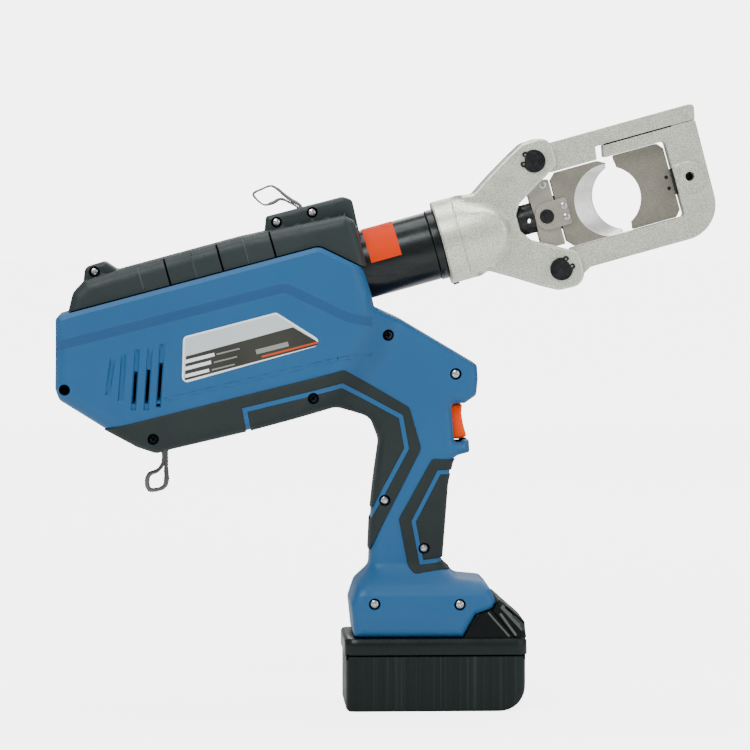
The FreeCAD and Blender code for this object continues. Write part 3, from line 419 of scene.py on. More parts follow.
SHELL = [
    (-240.4, 251.4, 3), (-232.4, 253.8, 2), (-74, 295.8, 9), (-46, 282.2, 5), (-40.6, 265.4, 6),
    (-38.6, 257, 3), (-21.6, 249.3, 8), (27.6, 220, 3.5), (28.2, 211, 6), (27.2, 200.4, 4),
    (19.7, 195.2, 1.2), (11.0, 195.0, 2.4), (13.1, 170.4, 3), (17.2, 170.3, 0.5), (18.6, 171.9, 0.4),
    (22.5, 171.6, 0.8), (22.9, 163.9, 1.5), (12.2, 161, 7), (8.4, 144.1, 40), (6.5, 117.8, 40),
    (4.6, 93.4, 5), (15, 84.2, 6), (31, 82.4, 5), (35, 78, 5), (38.7, 69.1, 2), (36.6, 65.3, 1.5),
    (25.3, 61.5, 2), (17.8, 46.9, 1),
    (-51.8, 47.2, 2), (-53.9, 68, 6), (-50, 80.5, 8), (-41.4, 90.5, 8), (-40.6, 108, 20),
    (-40.0, 122, 20), (-37.6, 144.1, 40), (-33.8, 171, 12), (-40, 187.4, 13), (-62.9, 194.3, 13),
    (-115.5, 180.2, 40), (-168.1, 168, 10), (-177, 165.4, 7), (-189, 169.4, 10), (-209.3, 180.4, 20),
    (-238.4, 198.6, 5), (-241, 205.5, 4),
]
SHELL_LINE = rounded(SHELL)
# The same with its top edge far away: what meets the cover isn't rounded there.
SHELL_OPEN = rounded([(-262, 285, 0), (-70, 335, 0), (-30, 330, 0)] + SHELL[3:-2] + [(-238.4, 198.6, 5),
    (-241.4, 205.5, 4), (-240.6, 240, 1)])
WIDE = rounded([(-400, 60), (-400, 420), (-26, 420), (-28, 262, 10), (-38, 232, 20), (-54, 208, 20),
                (-84, 170), (-100, 60)])
UPPER = rounded([(-300, 214.7), (-95.7, 266.9, 6), (-56.3, 248, 12), (10, 236), (10, 420), (-300, 420)])
RECESS_LINE = rounded([(-172.2, 197.9), (-62, 223.4, 6), (-40.4, 226.8), (-40.4, 229), (-62.6, 225.8, 6),
                       (-172.2, 200.2)])

REAR_GRIP = [
    (-209.6, 180.0), (-184, 186.4, 4), (-59.3, 217.3, 3), (-57.3, 217.3, 3), (-16, 193, 4),
    (-8.4, 166.7, 6), (-41.2, 101.6, 1), (-70, 96), (-70, 150), (-140, 140), (-220, 140), (-222, 176),
]
FRONT_GRIP = [
    (-1.4, 160.1, 3), (11.6, 159.4, 0.5), (40, 159.2), (40, 89.4), (5, 89.4, 1), (-13.2, 86.6, 4),
    (-16.9, 91.6, 4), (-22.7, 121.6, 3),
]
REAR_LINE = rounded(REAR_GRIP)
FRONT_LINE = rounded(FRONT_GRIP)


def strip(path, width):
    """A band of even width along a path, as a closed loop."""
    path = np.array(path, float)
    left, right = [], []
    for k, p in enumerate(path):
        along_a = path[k] - path[k - 1] if k else path[1] - path[0]
        along_b = path[k + 1] - path[k] if k < len(path) - 1 else along_a
        along_a, along_b = along_a / np.linalg.norm(along_a), along_b / np.linalg.norm(along_b)
        side = np.array([-(along_a + along_b)[1], (along_a + along_b)[0]])
        side /= np.linalg.norm(side)
        reach = width / 2 / max(side @ np.array([-along_a[1], along_a[0]]), 0.4)
        left.append(p + side * reach)
        right.append(p - side * reach)
    return np.array(left + right[::-1])


INLAY_REAR = strip([(-117.2, 170), (-121.2, 192.6), (-59.3, 207.6), (-21.4, 187.1), (-17.8, 166.7),
                    (-38.7, 127.6), (-46, 114)], 2.9)
INLAY_FRONT = strip([(24, 151.4), (2.9, 151.4), (-13.2, 119.9), (-8.2, 93.6), (24, 97.4)], 2.7)

SCREWS = [
    (-179.1, 174.1, 0), (-77.7, 199.6, 0), (-29.6, 239.2, 0), (13.7, 214.2, 1),
    (-31.6, 133.4, 1), (-6.4, 102.5, 1), (-38.9, 68.7, 1), (15.4, 68.2, 1),
]
DEEP_HOLE = (-235.0, 205.4)
VENTS = [
    ((-204.3, 226.3), (-207.8, 202.3), 0), ((-197.2, 228.8), (-199.8, 197.4), 0),
    ((-188.9, 231), (-191.6, 192.6), 1), ((-180.8, 232.8), (-183.5, 192.6), 1),
    ((-173.1, 234.6), (-175.8, 194.4), 1),
]


def along(a, b, low, high, width):
    """A slot between two shares of a line."""
    a, b = np.array(a), np.array(b)
    return strip([a + (b - a) * low, a + (b - a) * high], width)


vent_outer = [along(a, b, 0, 1, 3.5) for a, b, _ in VENTS]
vent_slots = [along(a, b, 0.36 if n < 4 else 0.30, 0.90, 2.2) for n, (a, b, o) in enumerate(VENTS) if o]
vent_slots += [along(a, b, 0.945, 0.99, 2.2) for a, b, o in VENTS if o]
LABEL = rounded([(-160.2, 239.2, 3.5), (-101.1, 254.6, 3.5), (-69.4, 234.4, 3.5), (-161.2, 208.9, 3.5)],
                5)


def plateau(p):
    """Half the tool's width away from its rounded edges."""
    wide = smooth(depth_in(p, WIDE), -14, 16)
    flare = smooth(p[:, 1], 94, 73)
    body = 19 + 17 * wide
    ease = 1 - smooth(p[:, 1], 86, 102)
    low = 17.6 + 1.4 * smooth(p[:, 1], 110, 140) + 18.6 * flare * ease
    low += 0.8 * np.clip((73.6 - p[:, 1]) / 12.2, 0, 1) - 1.3 * np.clip((61.4 - p[:, 1]) / 14, 0, 1)
    return np.where(p[:, 1] < 140, low, body)


def shell_base(p):
    width = plateau(p)
    round_off = np.where(p[:, 1] > 150, 6 + 3.5 * smooth(depth_in(p, WIDE), -10, 12),
                         7.5 - 1.5 * smooth(p[:, 1], 95, 80))
    open_depth = depth_in(p, SHELL_OPEN)
    edge_depth = depth_in(p, SHELL_LINE)
    return width - drop(open_depth, round_off) - np.where(open_depth > edge_depth + 0.2,
                                   1.9 * np.clip(1 - edge_depth / 2.8, 0, 1), 0)


def shell_height(right):
    """The shell's height; the right one also has the label's bed, the screw wells and a deep hole."""
    def height(p):
        h = shell_base(p)
        h += 2.5 * np.clip(depth_in(p, UPPER) / 6.0, 0, 1) * smooth(p[:, 0], -34, -66)
        h -= 0.45 * (depth_in(p, RECESS_LINE) > 0)
        for loop in (INLAY_REAR, INLAY_FRONT):
            h += 0.75 * (depth_in(p, loop) > -0.01)
        for outer in vent_outer:
            h -= 1.3 * (depth_in(p, outer) > 0.02)
        for slot in vent_slots:
            h -= 14 * (depth_in(p, slot) > 0.02)
        if right:
            h -= 0.5 * (depth_in(p, LABEL) > 0.02)
            for x, z, _ in SCREWS:
                away = np.hypot(p[:, 0] - x, p[:, 1] - z)
                level = shell_base(np.array([(x, z)]))[0]
                h = np.where(away < 3.62, level - 2.6, h)
            away = np.hypot(p[:, 0] - DEEP_HOLE[0], p[:, 1] - DEEP_HOLE[1])
            h = np.where(away < 3.42, 8, h)
        return h
    return height


def dense(line, depths, step=3):
    """A loop with even steps and its twins at some depths inside."""
    even = resampled(line, step)
    return [even] + [offset(even, d) for d in depths]


def level(height):
    """A height or foot that is the same everywhere."""
    return lambda p: np.full(len(p), float(height))


def near(loop, gap=0.18):
    """A loop and its twin just outside, so that a step stands nearly upright."""
    return [loop, offset(loop, -gap)]


def shell_foot(p):
    """The border's walls close on the mid plane, but leave a way in for the trigger."""
    return np.where((p[:, 0] > 10) & (p[:, 0] < 18.8) & (p[:, 1] > 170) & (p[:, 1] < 195.6), 9.4, 0.0)


shell_loops = dense(SHELL_LINE, (0.3, 0.9, 1.7, 2.8, 4.6, 6.6, 9.2))
shell_loops += [resampled(INLAY_REAR, 4), resampled(offset(INLAY_REAR, -0.12), 4)]
shell_loops += [resampled(INLAY_FRONT, 4), resampled(offset(INLAY_FRONT, -0.12), 4)]
shell_loops += [resampled(UPPER, 5), resampled(offset(UPPER, 6.0), 5)]
shell_loops += near(resampled(RECESS_LINE, 5), 0.2)
shell_loops += [line for vent in vent_outer for line in near(vent)]
shell_loops += [line for vent in vent_slots for line in near(vent, 0.12)]
shell_loops += near(LABEL, 0.15)
shell_loops += [np.array([(-70, z), (60, z), (60, z + 20), (-70, z + 20)]) for z in (61.4, 73.6)]
for x, z, _ in SCREWS:
    shell_loops += [circle(x, z, 3.6), circle(x, z, 3.78), circle(x, z, 4.6)]
shell_loops += [circle(*DEEP_HOLE, 3.4), circle(*DEEP_HOLE, 3.6), circle(*DEEP_HOLE, 4.4)]
# The sloped band below the raised upper panel is painted a darker blue: painted shade.
for side, label in ((-1, "right"), (1, "left")):
    relief(
        label + "_shell_skin", shell_loops, lambda m: depth_in(m, SHELL_LINE) > 0,
        shell_height(side < 0), shell_foot, "housing", BLUE, side, grid((-240, 40, 46, 296), 3.4),
        paint=lambda m: (np.abs(depth_in(m, UPPER) - 3) < 3) & (m[:, 0] < -40), paints=(BLUE_BAND_SHADED,),
        replaces=(label + "_shell",), slot="blue_plastic", angle=28,
    )

# Rubber laid over the handle and along the belly.
OVER_LINE = offset(resampled(SHELL_LINE, 2), -0.9)


def rubber_height(line, inlay):
    def height(p):
        grown = np.maximum(depth_in(p, SHELL_OPEN) + 0.9, 0)
        width = plateau(p)
        round_off = np.where(p[:, 1] > 150, 6 + 3.5 * smooth(depth_in(p, WIDE), -10, 12), 7.5)
        h = width - drop(grown, round_off) + 0.95
        edge = np.minimum(depth_in(p, line), -depth_in(p, inlay))
        return h - drop(np.clip(edge, 0, 1), 0.8)
    return height


def rubber(label, line, inlay, side):
    """A rubber pad over one side, around its blue inlay and the screws' wells."""
    loops = dense(line, (0.25, 0.9))
    loops += [resampled(offset(inlay, -g), 3) for g in (0.06, 0.3, 0.95)]
    loops += [OVER_LINE] + [offset(OVER_LINE, d) for d in (0.4, 1.2, 2.4, 4.0, 6.2, 9.2)]
    if side < 0:
        for x, z, _ in SCREWS:
            loops += [circle(x, z, 3.7)]

    def keep(m):
        good = (depth_in(m, line) > 0) & (depth_in(m, OVER_LINE) > 0)
        good &= depth_in(m, offset(inlay, -0.06)) < 0
        if side < 0:
            for x, z, _ in SCREWS:
                good &= np.hypot(m[:, 0] - x, m[:, 1] - z) > 3.69
        return good

    def foot(p):
        return np.where(np.abs(depth_in(p, OVER_LINE)) < 0.06, 0, np.maximum(shell_base(p) - 1.2, 0))

    low, high = line.min(0), line.max(0)
    spots = grid((max(low[0], -240), min(high[0], 40), max(low[1], 84), high[1]), 3.4)
    name = ("right_" if side < 0 else "left_") + label
    relief(name + "_skin", loops, keep, rubber_height(line, inlay), foot, "housing", RUBBER, side, spots,
           replaces=(name,), slot="grip_rubber", angle=35)


for side in (-1, 1):
    rubber("rear_grip", REAR_LINE, INLAY_REAR, side)
    rubber("front_grip", FRONT_LINE, INLAY_FRONT, side)

# ---------------------------------------------------------------- top cover

COVER_TOP = rounded([
    (-244, 220), (-229.9, 266.4, 8), (-222.4, 274.2, 6), (-202, 280.4, 3), (-122.2, 302.0, 2),
    (-106, 305.4, 2), (-57.6, 315.6, 5), (-51.4, 312, 5), (-47.3, 298, 10), (-38, 262), (-80, 220),
])
COVER_LINE = rounded([
    (-232.6, 254.6), (-229.6, 267, 8), (-223.4, 273.4, 2), (-222.3, 282.2, 3.5), (-209.7, 286.1, 4),
    (-201.6, 280.8, 3), (-122.2, 302.2, 2), (-107.8, 305.0, 1), (-106.8, 314.4, 2), (-57.6, 327.1, 4),
    (-52.3, 325.4, 4), (-47.3, 303, 30), (-42.9, 283.3, 1), (-46.3, 283.4, 5), (-73.8, 296.7, 9),
    (-232.4, 254.7),
])
COVER_SCREWS = [(-216.3, 279.6), (-100.5, 311), (-77.8, 317.2)]
SLAT_STARTS = (-190.6, -156.2, -121.8)
GROOVES = (-173.4, -139.0, -104.6)
SLAT_LONG = 16.6


def along_head(p):
    """How far along the cylinder's axis each point lies."""
    return (p[:, 0] - HEAD[0]) * math.cos(TILT) + (p[:, 1] - HEAD[1]) * math.sin(TILT)


def cover_height(p):
    main = depth_in(p, COVER_TOP)
    ridge = depth_in(p, COVER_LINE)
    h = np.where(main > 0, 33.2 - drop(main, 7), 0)
    boss = 15.5 - drop(ridge, 2.5)
    h = np.maximum(h, boss)
    u = along_head(p)
    for start in GROOVES:
        h -= 0.9 * ((u > start - 0.6) & (u < start + 0.6) & (main > 0.5))
    for start in SLAT_STARTS:
        h += 1.3 * ((u >= start + 0.6) & (u <= start + SLAT_LONG) & (main > 0.5) & (h > 15.6))
    for x, z in COVER_SCREWS:
        h = np.where(np.hypot(p[:, 0] - x, p[:, 1] - z) < 3.42, 12.4, h)
    return h


def cover_paint(m):
    """The slats' rear edges get a painted highlight; the gaps in front of them get painted shade."""
    u = along_head(m)
    kind = np.zeros(len(m), int)
    for start in SLAT_STARTS:
        kind[(np.abs(u - start) < 0.6) & (depth_in(m, COVER_TOP) > 1.5)] = 1
        kind[(np.abs(u - start - SLAT_LONG - 0.6) < 0.6) & (depth_in(m, COVER_TOP) > 0.5)] = 2
    return kind


def head_line(u0, u1, v0=10, v1=60):
    return head_to_world([(u0, v0), (u1, v0), (u1, v1), (u0, v1)])


cover_loops = dense(COVER_LINE, (0.3, 0.9, 2.4)) + dense(COVER_TOP, (0.12, 0.5, 1.2, 2.4, 4.2, 7))
for start in sorted(SLAT_STARTS + GROOVES):
    cover_loops += [head_line(start - 0.6, start + 0.6), head_line(start - 0.75, start + 0.75)]
for x, z in COVER_SCREWS:
    cover_loops += [circle(x, z, 3.4), circle(x, z, 3.55)]
for side, label in ((-1, "right"), (1, "left")):
    relief(
        label + "_cover_skin", cover_loops, lambda m: depth_in(m, COVER_LINE) > 0, cover_height,
        level(0), "housing", BLACK, side, grid((-233, -42, 254, 328), 4),
        replaces=(label + "_top_cover",), slot="dark_plastic", angle=30,
        paint=cover_paint, paints=(SLAT_HIGHLIGHT, PAINTED_SHADE),
    )

# ---------------------------------------------------------------- screws


def cross_head(name, places, node, body, radius, heights, look, side=-1, place=None):
    """Crowned heads with a cross recess at each place, plus the shank behind each."""
    loops = []
    for x, z in places:
        loops += [circle(x, z, radius * k, 32) for k in (1, 0.93, 0.72, 0.45)]
        arm, wide = radius * 0.62, radius * 0.17
        cross = np.array([
            (arm, wide), (wide, wide), (wide, arm), (-wide, arm), (-wide, wide), (-arm, wide),
            (-arm, -wide), (-wide, -wide), (-wide, -arm), (wide, -arm), (wide, -wide), (arm, -wide),
        ])
        turn = math.radians((x * 37 + z * 11) % 90)
        swing = np.array([[math.cos(turn), -math.sin(turn)], [math.sin(turn), math.cos(turn)]])
        cross = cross @ swing.T + (x, z)
        loops += [cross, offset(cross, -0.1)]

    def which(p):
        gaps = np.stack([np.hypot(p[:, 0] - x, p[:, 1] - z) for x, z in places])
        return gaps.argmin(0), gaps.min(0)

    def height(p):
        pick, gap = which(p)
        share = np.clip(gap / radius, 0, 1)
        h = np.array(heights)[pick] - 0.30 * radius * share ** 2 - 0.25 * (share > 0.95)
        for k in range(len(places)):
            h -= 0.42 * radius * (depth_in(p, loops[6 * k + 4]) > -0.02)
        return h

    return relief(name, loops, lambda m: which(m)[1] < radius, height,
                  lambda p: np.array(heights)[which(p)[0]] - 4, body, look, side,
                  place=place, replaces=node, slot="zinc_steel", angle=30)


silver = [(x, z) for x, z, kind in SCREWS if kind]
dull = [(x, z) for x, z, kind in SCREWS if not kind]


def seat(places, sunk):
    return [float(shell_base(np.array([p]))[0]) - sunk for p in places]


cross_head("housing_screw_heads", silver, ("housing_screws",), "housing", 2.75, seat(silver, 0.9), ZINC)
cross_head("dark_screw_heads", dull, (), "housing", 2.7, seat(dull, 1.6), DARK_SCREW)
cross_head("cover_screw_heads", COVER_SCREWS, ("cover_screws",), "housing", 2.35,
           [14.6, 14.6, 14.6], ZINC)

cross_head("blade_screw_heads", [(81.8, 2.5), (81.7, -4.8)], ("blade_screws",), "ram", 2.2, [11.5, 11.5],
           ZINC, -1, HEAD_PLACE)
cross_head("keeper_screw_head", [(72.3, 18.6)], (), "ram", 2.3, [8.9], ZINC, -1, HEAD_PLACE)

# Painted shade: near-black floors in the screw wells show as dark rings round the heads.
WELLS = [(x, z, float(shell_base(np.array([(x, z)]))[0]) - 2.45) for x, z, _ in SCREWS]
WELLS += [(x, z, 12.5) for x, z in COVER_SCREWS]
well_loops = [circle(x, z, 3.56 if k < len(SCREWS) else 3.36) for k, (x, z, _) in enumerate(WELLS)]


def well_height(p):
    gaps = np.stack([np.hypot(p[:, 0] - x, p[:, 1] - z) for x, z, _ in WELLS])
    return np.array([w[2] for w in WELLS])[gaps.argmin(0)]


relief("well_floors", well_loops, lambda m: np.any([depth_in(m, well) > 0 for well in well_loops], 0),
       well_height, lambda p: well_height(p) - 0.6, "housing", PAINTED_SHADE)
# Painted shade on the deep hole's floor.
hole_line = circle(*DEEP_HOLE, 3.36)
relief("hole_floor", [hole_line], lambda m: depth_in(m, hole_line) > 0, level(8.2), level(7.4),
       "housing", PAINTED_SHADE)

# ---------------------------------------------------------------- rating label, left blank

LABEL_IN = offset(LABEL, 1.5)
DARK_FIELD = np.array([(-158.3, 226.6), (-90.6, 245.0), (-73.6, 234.9), (-74.6, 233.6), (-159.1, 211.4)])
BARS = [
    [(-158.6, 224.4), (-140.5, 228.9), (-140.2, 226.8), (-158.8, 222.0)],
    [(-158.7, 220.0), (-142.6, 224.0), (-142.3, 221.9), (-158.9, 217.6)],
    [(-158.8, 215.2), (-143.8, 218.9), (-143.5, 216.9), (-158.9, 213.0)],
]
LINE_STARTS = [(-139.0, 227.9), (-140.6, 222.8), (-142.0, 218.0)]
LINES = [strip([(x, z), (x + 14.6, z + 3.6)], 0.9) for x, z in LINE_STARTS]
LINES += [strip([(-114.0, 229.3), (-93.6, 234.4)], 3.0)]
RED_LINE = strip([(-110.4, 226.3), (-74.8, 235.4)], 1.1)
paint_loops = [np.array(b) for b in BARS] + LINES + [RED_LINE]


def label_paint(m):
    """White border, silver and dark fields, blank bars and lines, one red line."""
    kind = np.where(depth_in(m, LABEL_IN) > 0, 1, 0)
    kind = np.where(depth_in(m, DARK_FIELD) > 0, 2, kind)
    for n, loop in enumerate(paint_loops):
        value = 0 if n < 3 else 3 if n < 7 else 4
        kind = np.where(depth_in(m, loop) > 0, value, kind)
    return kind


LABEL_EDGE = offset(LABEL, 0.25)
relief("rating_label_skin", [LABEL_EDGE, offset(LABEL_EDGE, 0.4), LABEL_IN, DARK_FIELD] + paint_loops,
       lambda m: depth_in(m, LABEL_EDGE) > 0,
       lambda p: shell_base(p) + 0.12 - 0.12 * (depth_in(p, LABEL_EDGE) < 0.05),
       lambda p: shell_base(p) - 0.45, "housing", LABEL_WHITE, spots=grid((-160, -70, 209, 254), 4),
       paint=label_paint, paints=(LABEL_SILVER, LABEL_DARK, LABEL_GREY, LABEL_LINE),
       replaces=("rating_label",), slot="label_film")

# ---------------------------------------------------------------- battery pack

CASE = rounded([(-57.2, 0, 3.2), (-57.2, 35.2, 0.3), (57.6, 35.2, 0.3), (57.6, 0, 17)], 9)
CASE_OPEN = rounded([(-57.2, 0, 3.2), (-57.2, 70, 0), (57.6, 70, 0), (57.6, 0, 17)], 9)
CASE_TALL = np.array([(-57.2, -60), (-57.2, 90), (57.6, 90), (57.6, -60)])
RIM = rounded([(-58.2, 36.1, 0.5), (-58.2, 46.6, 2.4), (58.2, 46.6, 2.4), (58.6, 36.1, 0.5)], 5)
SEAM = np.array([(-56.8, 33), (-56.8, 38), (57.2, 38), (57.2, 33)])
NOSE = rounded([
    (17.9, 46.4), (25.4, 61.1, 2), (36.8, 65.1, 1), (39.3, 70.0, 0.6), (40.4, 71.2, 0.8),
    (57.5, 56.2, 1.6), (58.2, 46.4),
], 5)
NOSE_OPEN = rounded([(0, 30), (36, 77, 1), (57.5, 56.2, 3), (58.6, 30)], 6)
STEP_IN = np.array([(30.6, 66.0), (34.0, 66.0), (50.8, 46.0), (80, 46), (80, 90), (30.6, 90)])
STEP_OUT = np.array([(40.0, 66.6), (43.6, 59.2), (54.4, 46.0), (80, 46), (80, 90), (40, 90)])


def case_height(p):
    h = 37.1 - drop(depth_in(p, CASE_TALL), 6.5) - drop(depth_in(p, CASE_OPEN), 1.6)
    return h - 0.3 * (depth_in(p, CASE) < 0.02) * (p[:, 1] > 34)


def rim_height(p):
    h = 37.6 - drop(depth_in(p, CASE_TALL) + 1, 7.5)
    return h - drop(depth_in(p, RIM), 1.0) - 1.2 * smooth(p[:, 1], 43.2, 46.4)


# Painted highlights run down the nose's folds, beside a slot of painted shade.
HIGHLIGHT_STREAKS = [strip([(33.4, 63), (47.0, 47.6)], 1.1), strip([(41.0, 62.5), (51.2, 48.4)], 1.5),
           strip([(42.0, 67.0), (56.0, 51.6)], 2.6)]
NOSE_SLOT_SHADED = strip([(44.6, 66.2), (56.6, 55.4)], 1.5)


def nose_paint(m):
    bright = np.max([depth_in(m, streak) for streak in HIGHLIGHT_STREAKS], axis=0) > 0
    return np.where(depth_in(m, NOSE_SLOT_SHADED) > 0, 2, np.where(bright, 1, 0))


def nose_height(p):
    h = 34.2 + 1.5 * np.clip(depth_in(p, STEP_IN) / 1.1, 0, 1)
    h -= 5.5 * np.clip(depth_in(p, STEP_OUT) / 5, 0, 1)
    return h - drop(depth_in(p, NOSE_OPEN), 4.5)


nose_loops = dense(NOSE, (0.4, 1.0, 2.0, 3.2, 4.6)) + [STEP_IN, offset(STEP_IN, 1.1)]
nose_loops += [STEP_OUT, offset(STEP_OUT, 2.5), offset(STEP_OUT, 5)] + HIGHLIGHT_STREAKS + [NOSE_SLOT_SHADED]
for side, label in ((-1, "right"), (1, "left")):
    relief("pack_case_" + label, dense(CASE, (0.3, 0.9, 1.8, 3.2, 5, 6.6)),
           lambda m: depth_in(m, CASE) > 0, case_height, level(0), "battery", PACK_SIDE, side,
           grid((-56, 56, 1, 35), 5), slot="dark_plastic", replaces=("battery_case_lower",))
    relief("pack_rim_" + label, dense(RIM, (0.3, 0.7, 1.2, 2.4, 3.6)), lambda m: depth_in(m, RIM) > 0,
           rim_height, level(0), "battery", PACK, side, grid((-56, 56, 37, 46), 4), slot="dark_plastic")
    # A strip of painted shade along the seam between case and rim.
    relief("pack_seam_" + label, [SEAM], lambda m: depth_in(m, SEAM) > 0, level(34.6), level(0),
           "battery", PAINTED_SHADE, side, slot="dark_plastic")
    # The nose's side faces take the darker nylon as painted shade.
    relief("pack_nose_" + label, nose_loops, lambda m: depth_in(m, NOSE) > 0, nose_height, level(0),
           "battery", NOSE_SHADED, side, grid((18, 58, 46, 70), 3), paint=nose_paint,
           paints=(NOSE_HIGHLIGHT, PAINTED_SHADE), slot="dark_plastic")

# The rails keep their own shape; the rest of that part shrinks to sit inside the new surfaces.
upper_case = frame["nodes"]["battery_case_upper"]
core = bpy.data.objects.new("battery_rails", upper_case.data.copy())
bpy.context.scene.collection.objects.link(core)
for vertex in core.data.vertices:
    x, y, z = vertex.co / MM
    if abs(x) > 54 or x > 20:
        x -= math.copysign(0.9, x)
    if 45.5 < z < 47.5 or z > 60.5:
        z -= 0.7
    vertex.co = Vector((x, min(max(y, -30), 30), z)) * MM
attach(core, "battery")
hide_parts("battery_case_upper")

# ---------------------------------------------------------------- head

for name, width in (("latch_arm", 0.5), ("lower_frame", 0.5), ("blade_plate", 0.35), ("ram_head", 0.4),
                    ("trigger", 0.8), ("moving_blade", 0.15), ("fixed_blade", 0.15), ("lock_ring", 0.5),
                    ("battery_button", 0.6)):
    thing = frame["nodes"][name]
    weld = thing.modifiers.new("weld", "WELD")
    weld.merge_threshold = 0.000002
    bevel = thing.modifiers.new("soft_edges", "BEVEL")
    bevel.width = width * MM
    bevel.segments = 2
    bevel.limit_method = "ANGLE"
    bevel.angle_limit = math.radians(40)
    bevel.harden_normals = False

# Shade behind the open vents, the seam over the latch, the end of the eye.
VENT_BACK = np.array([(-197, 187), (-168, 190), (-165, 238), (-194, 233)])
for side, label in ((-1, "right"), (1, "left")):
    relief("vent_shade_" + label, [VENT_BACK], lambda m: depth_in(m, VENT_BACK) > 0,
           level(27.4), level(26.4), "housing", PAINTED_SHADE, side)
LATCH_SEAM = strip([(116.9, 33.1), (162.2, 33.1)], 0.9)
LATCH_END = strip([(162.2, 33.15), (177.4, 33.15)], 0.35)
for name, line in (("latch_seam", LATCH_SEAM), ("latch_seam_end", LATCH_END)):
    for side in (-1, 1):
        relief(name + ("_right" if side < 0 else "_left"), [line], lambda m: depth_in(m, line) > 0,
               level(8.06), level(7.6), "frame_arm", PAINTED_SHADE, side, place=HEAD_PLACE)
EYE_AT = (164.9, -1.2)
EYE = circle(*EYE_AT, 2.96)
relief("frame_eye_plug", [EYE, circle(*EYE_AT, 2.2), circle(*EYE_AT, 1.2)],
       lambda m: depth_in(m, EYE) > 0, lambda p: -4.6 + 0.6 * (depth_in(p, EYE) > 0.7),
       level(-8.8), "frame_arm", DARK_SCREW, -1, place=HEAD_PLACE)

# The forged yoke's outer faces: a round socket that scoops down to the flat prongs.
ARC = [(25.6 + 20.6 * math.cos(math.radians(t)), -1.1 + 20.6 * math.sin(math.radians(t)))
       for t in range(84, -85, -8)]
SOCKET = np.array([(-60, 60), (6, 60), (15, 34), (19.5, 26), (22.6, 21.0)] + ARC + [
    (22.6, -23.0), (19.5, -27.7), (15, -34), (6, -60), (-60, -60),
])
YOKE_LINE = rounded([
    (0.05, 26.95, 0.6), (18, 26.7, 4), (27.5, 25.0, 4), (40.4, 33.4), (55.1, 42, 20), (66, 47.8, 10),
    (84.3, 48.7, 13.4), (84.3, 28.9, 4), (54.6, 11.5, 4), (50.5, 5, 4), (50.5, -5.6, 4),
    (55.5, -12.9, 4), (83, -28.3, 4), (83, -49.7, 13.4), (64, -48.8, 10), (54, -43.2, 20),
    (38.1, -33.1), (24.0, -24.6, 4), (18, -26.7, 4), (0.05, -26.95, 0.6),
], 10)
UPPER_PIN = (70.6, 35)
LOWER_PIN = (69.3, -36)
PIN_HOLES = [circle(*UPPER_PIN, 6.2, 40), circle(*LOWER_PIN, 6.2, 40)]


def yoke_height(p):
    radius = 27.0 - 2.2 * np.clip((p[:, 0] - 12) / 32, 0, 1) ** 2.5
    radius -= 0.25 * np.clip((0.8 - p[:, 0]) / 0.8, 0, 1)
    tube = np.sqrt(np.maximum(radius ** 2 - p[:, 1] ** 2, 0))
    flat = 14.42 - 1.3 * np.clip(1 - depth_in(p, YOKE_LINE) / 1.3, 0, 1) * (p[:, 0] > 20)
    share = np.clip(depth_in(p, SOCKET) / 6.5, 0, 1)
    share = 1 - (1 - share) ** 2
    return np.maximum(flat + (tube - flat) * share, 1.5)


def yoke_foot(p):
    return np.where(p[:, 0] > 56, 8.4, np.where(p[:, 0] > 30, 6.0, 0.0))


yoke_loops = dense(YOKE_LINE, (0.35, 0.8, 1.35, 2.6), 2.5)
yoke_loops += dense(SOCKET, (0.6, 1.4, 2.6, 4.2, 6.5), 2.5) + PIN_HOLES
yoke_loops.append(np.array([(0.8, -26), (13, -26), (13, 26), (0.8, 26)]))
# The prongs' bevelled edges are painted near-white steel: a painted highlight.
for side, label in ((-1, "right"), (1, "left")):
    relief("yoke_skin_" + label, yoke_loops,
           lambda m: np.all([depth_in(m, YOKE_LINE) > 0] + [depth_in(m, pin) < 0 for pin in PIN_HOLES], 0),
           yoke_height, yoke_foot, "head", FORGED, side, grid((1, 84, -48, 48), 2.6), place=HEAD_PLACE,
           paint=lambda m: (depth_in(m, YOKE_LINE) < 1.3) & (m[:, 0] > 27), paints=(BEVEL_HIGHLIGHT,),
           slot="forged_steel")
# The raised pad round the eye.
PAD = rounded([(155.9, 9.4, 1.5), (158, 8.2, 2), (165, 9.7, 9.6), (175.6, 4, 9.6), (175.6, -7, 9.6),
               (165, -12, 9.6), (158, -10.6, 2), (155.9, -11.8, 1.5)], 8)
PAD_EYE = circle(*EYE_AT, 3.02)
relief("frame_eye_pad", dense(PAD, (0.5, 1.1), 2) + [PAD_EYE, circle(*EYE_AT, 3.5)],
       lambda m: (depth_in(m, PAD) > 0) & (depth_in(m, PAD_EYE) < 0),
       lambda p: 9.5 - 1.2 * np.clip(1 - depth_in(p, PAD) / 1.1, 0, 1),
       level(8), "frame_arm", FORGED, -1, place=HEAD_PLACE)

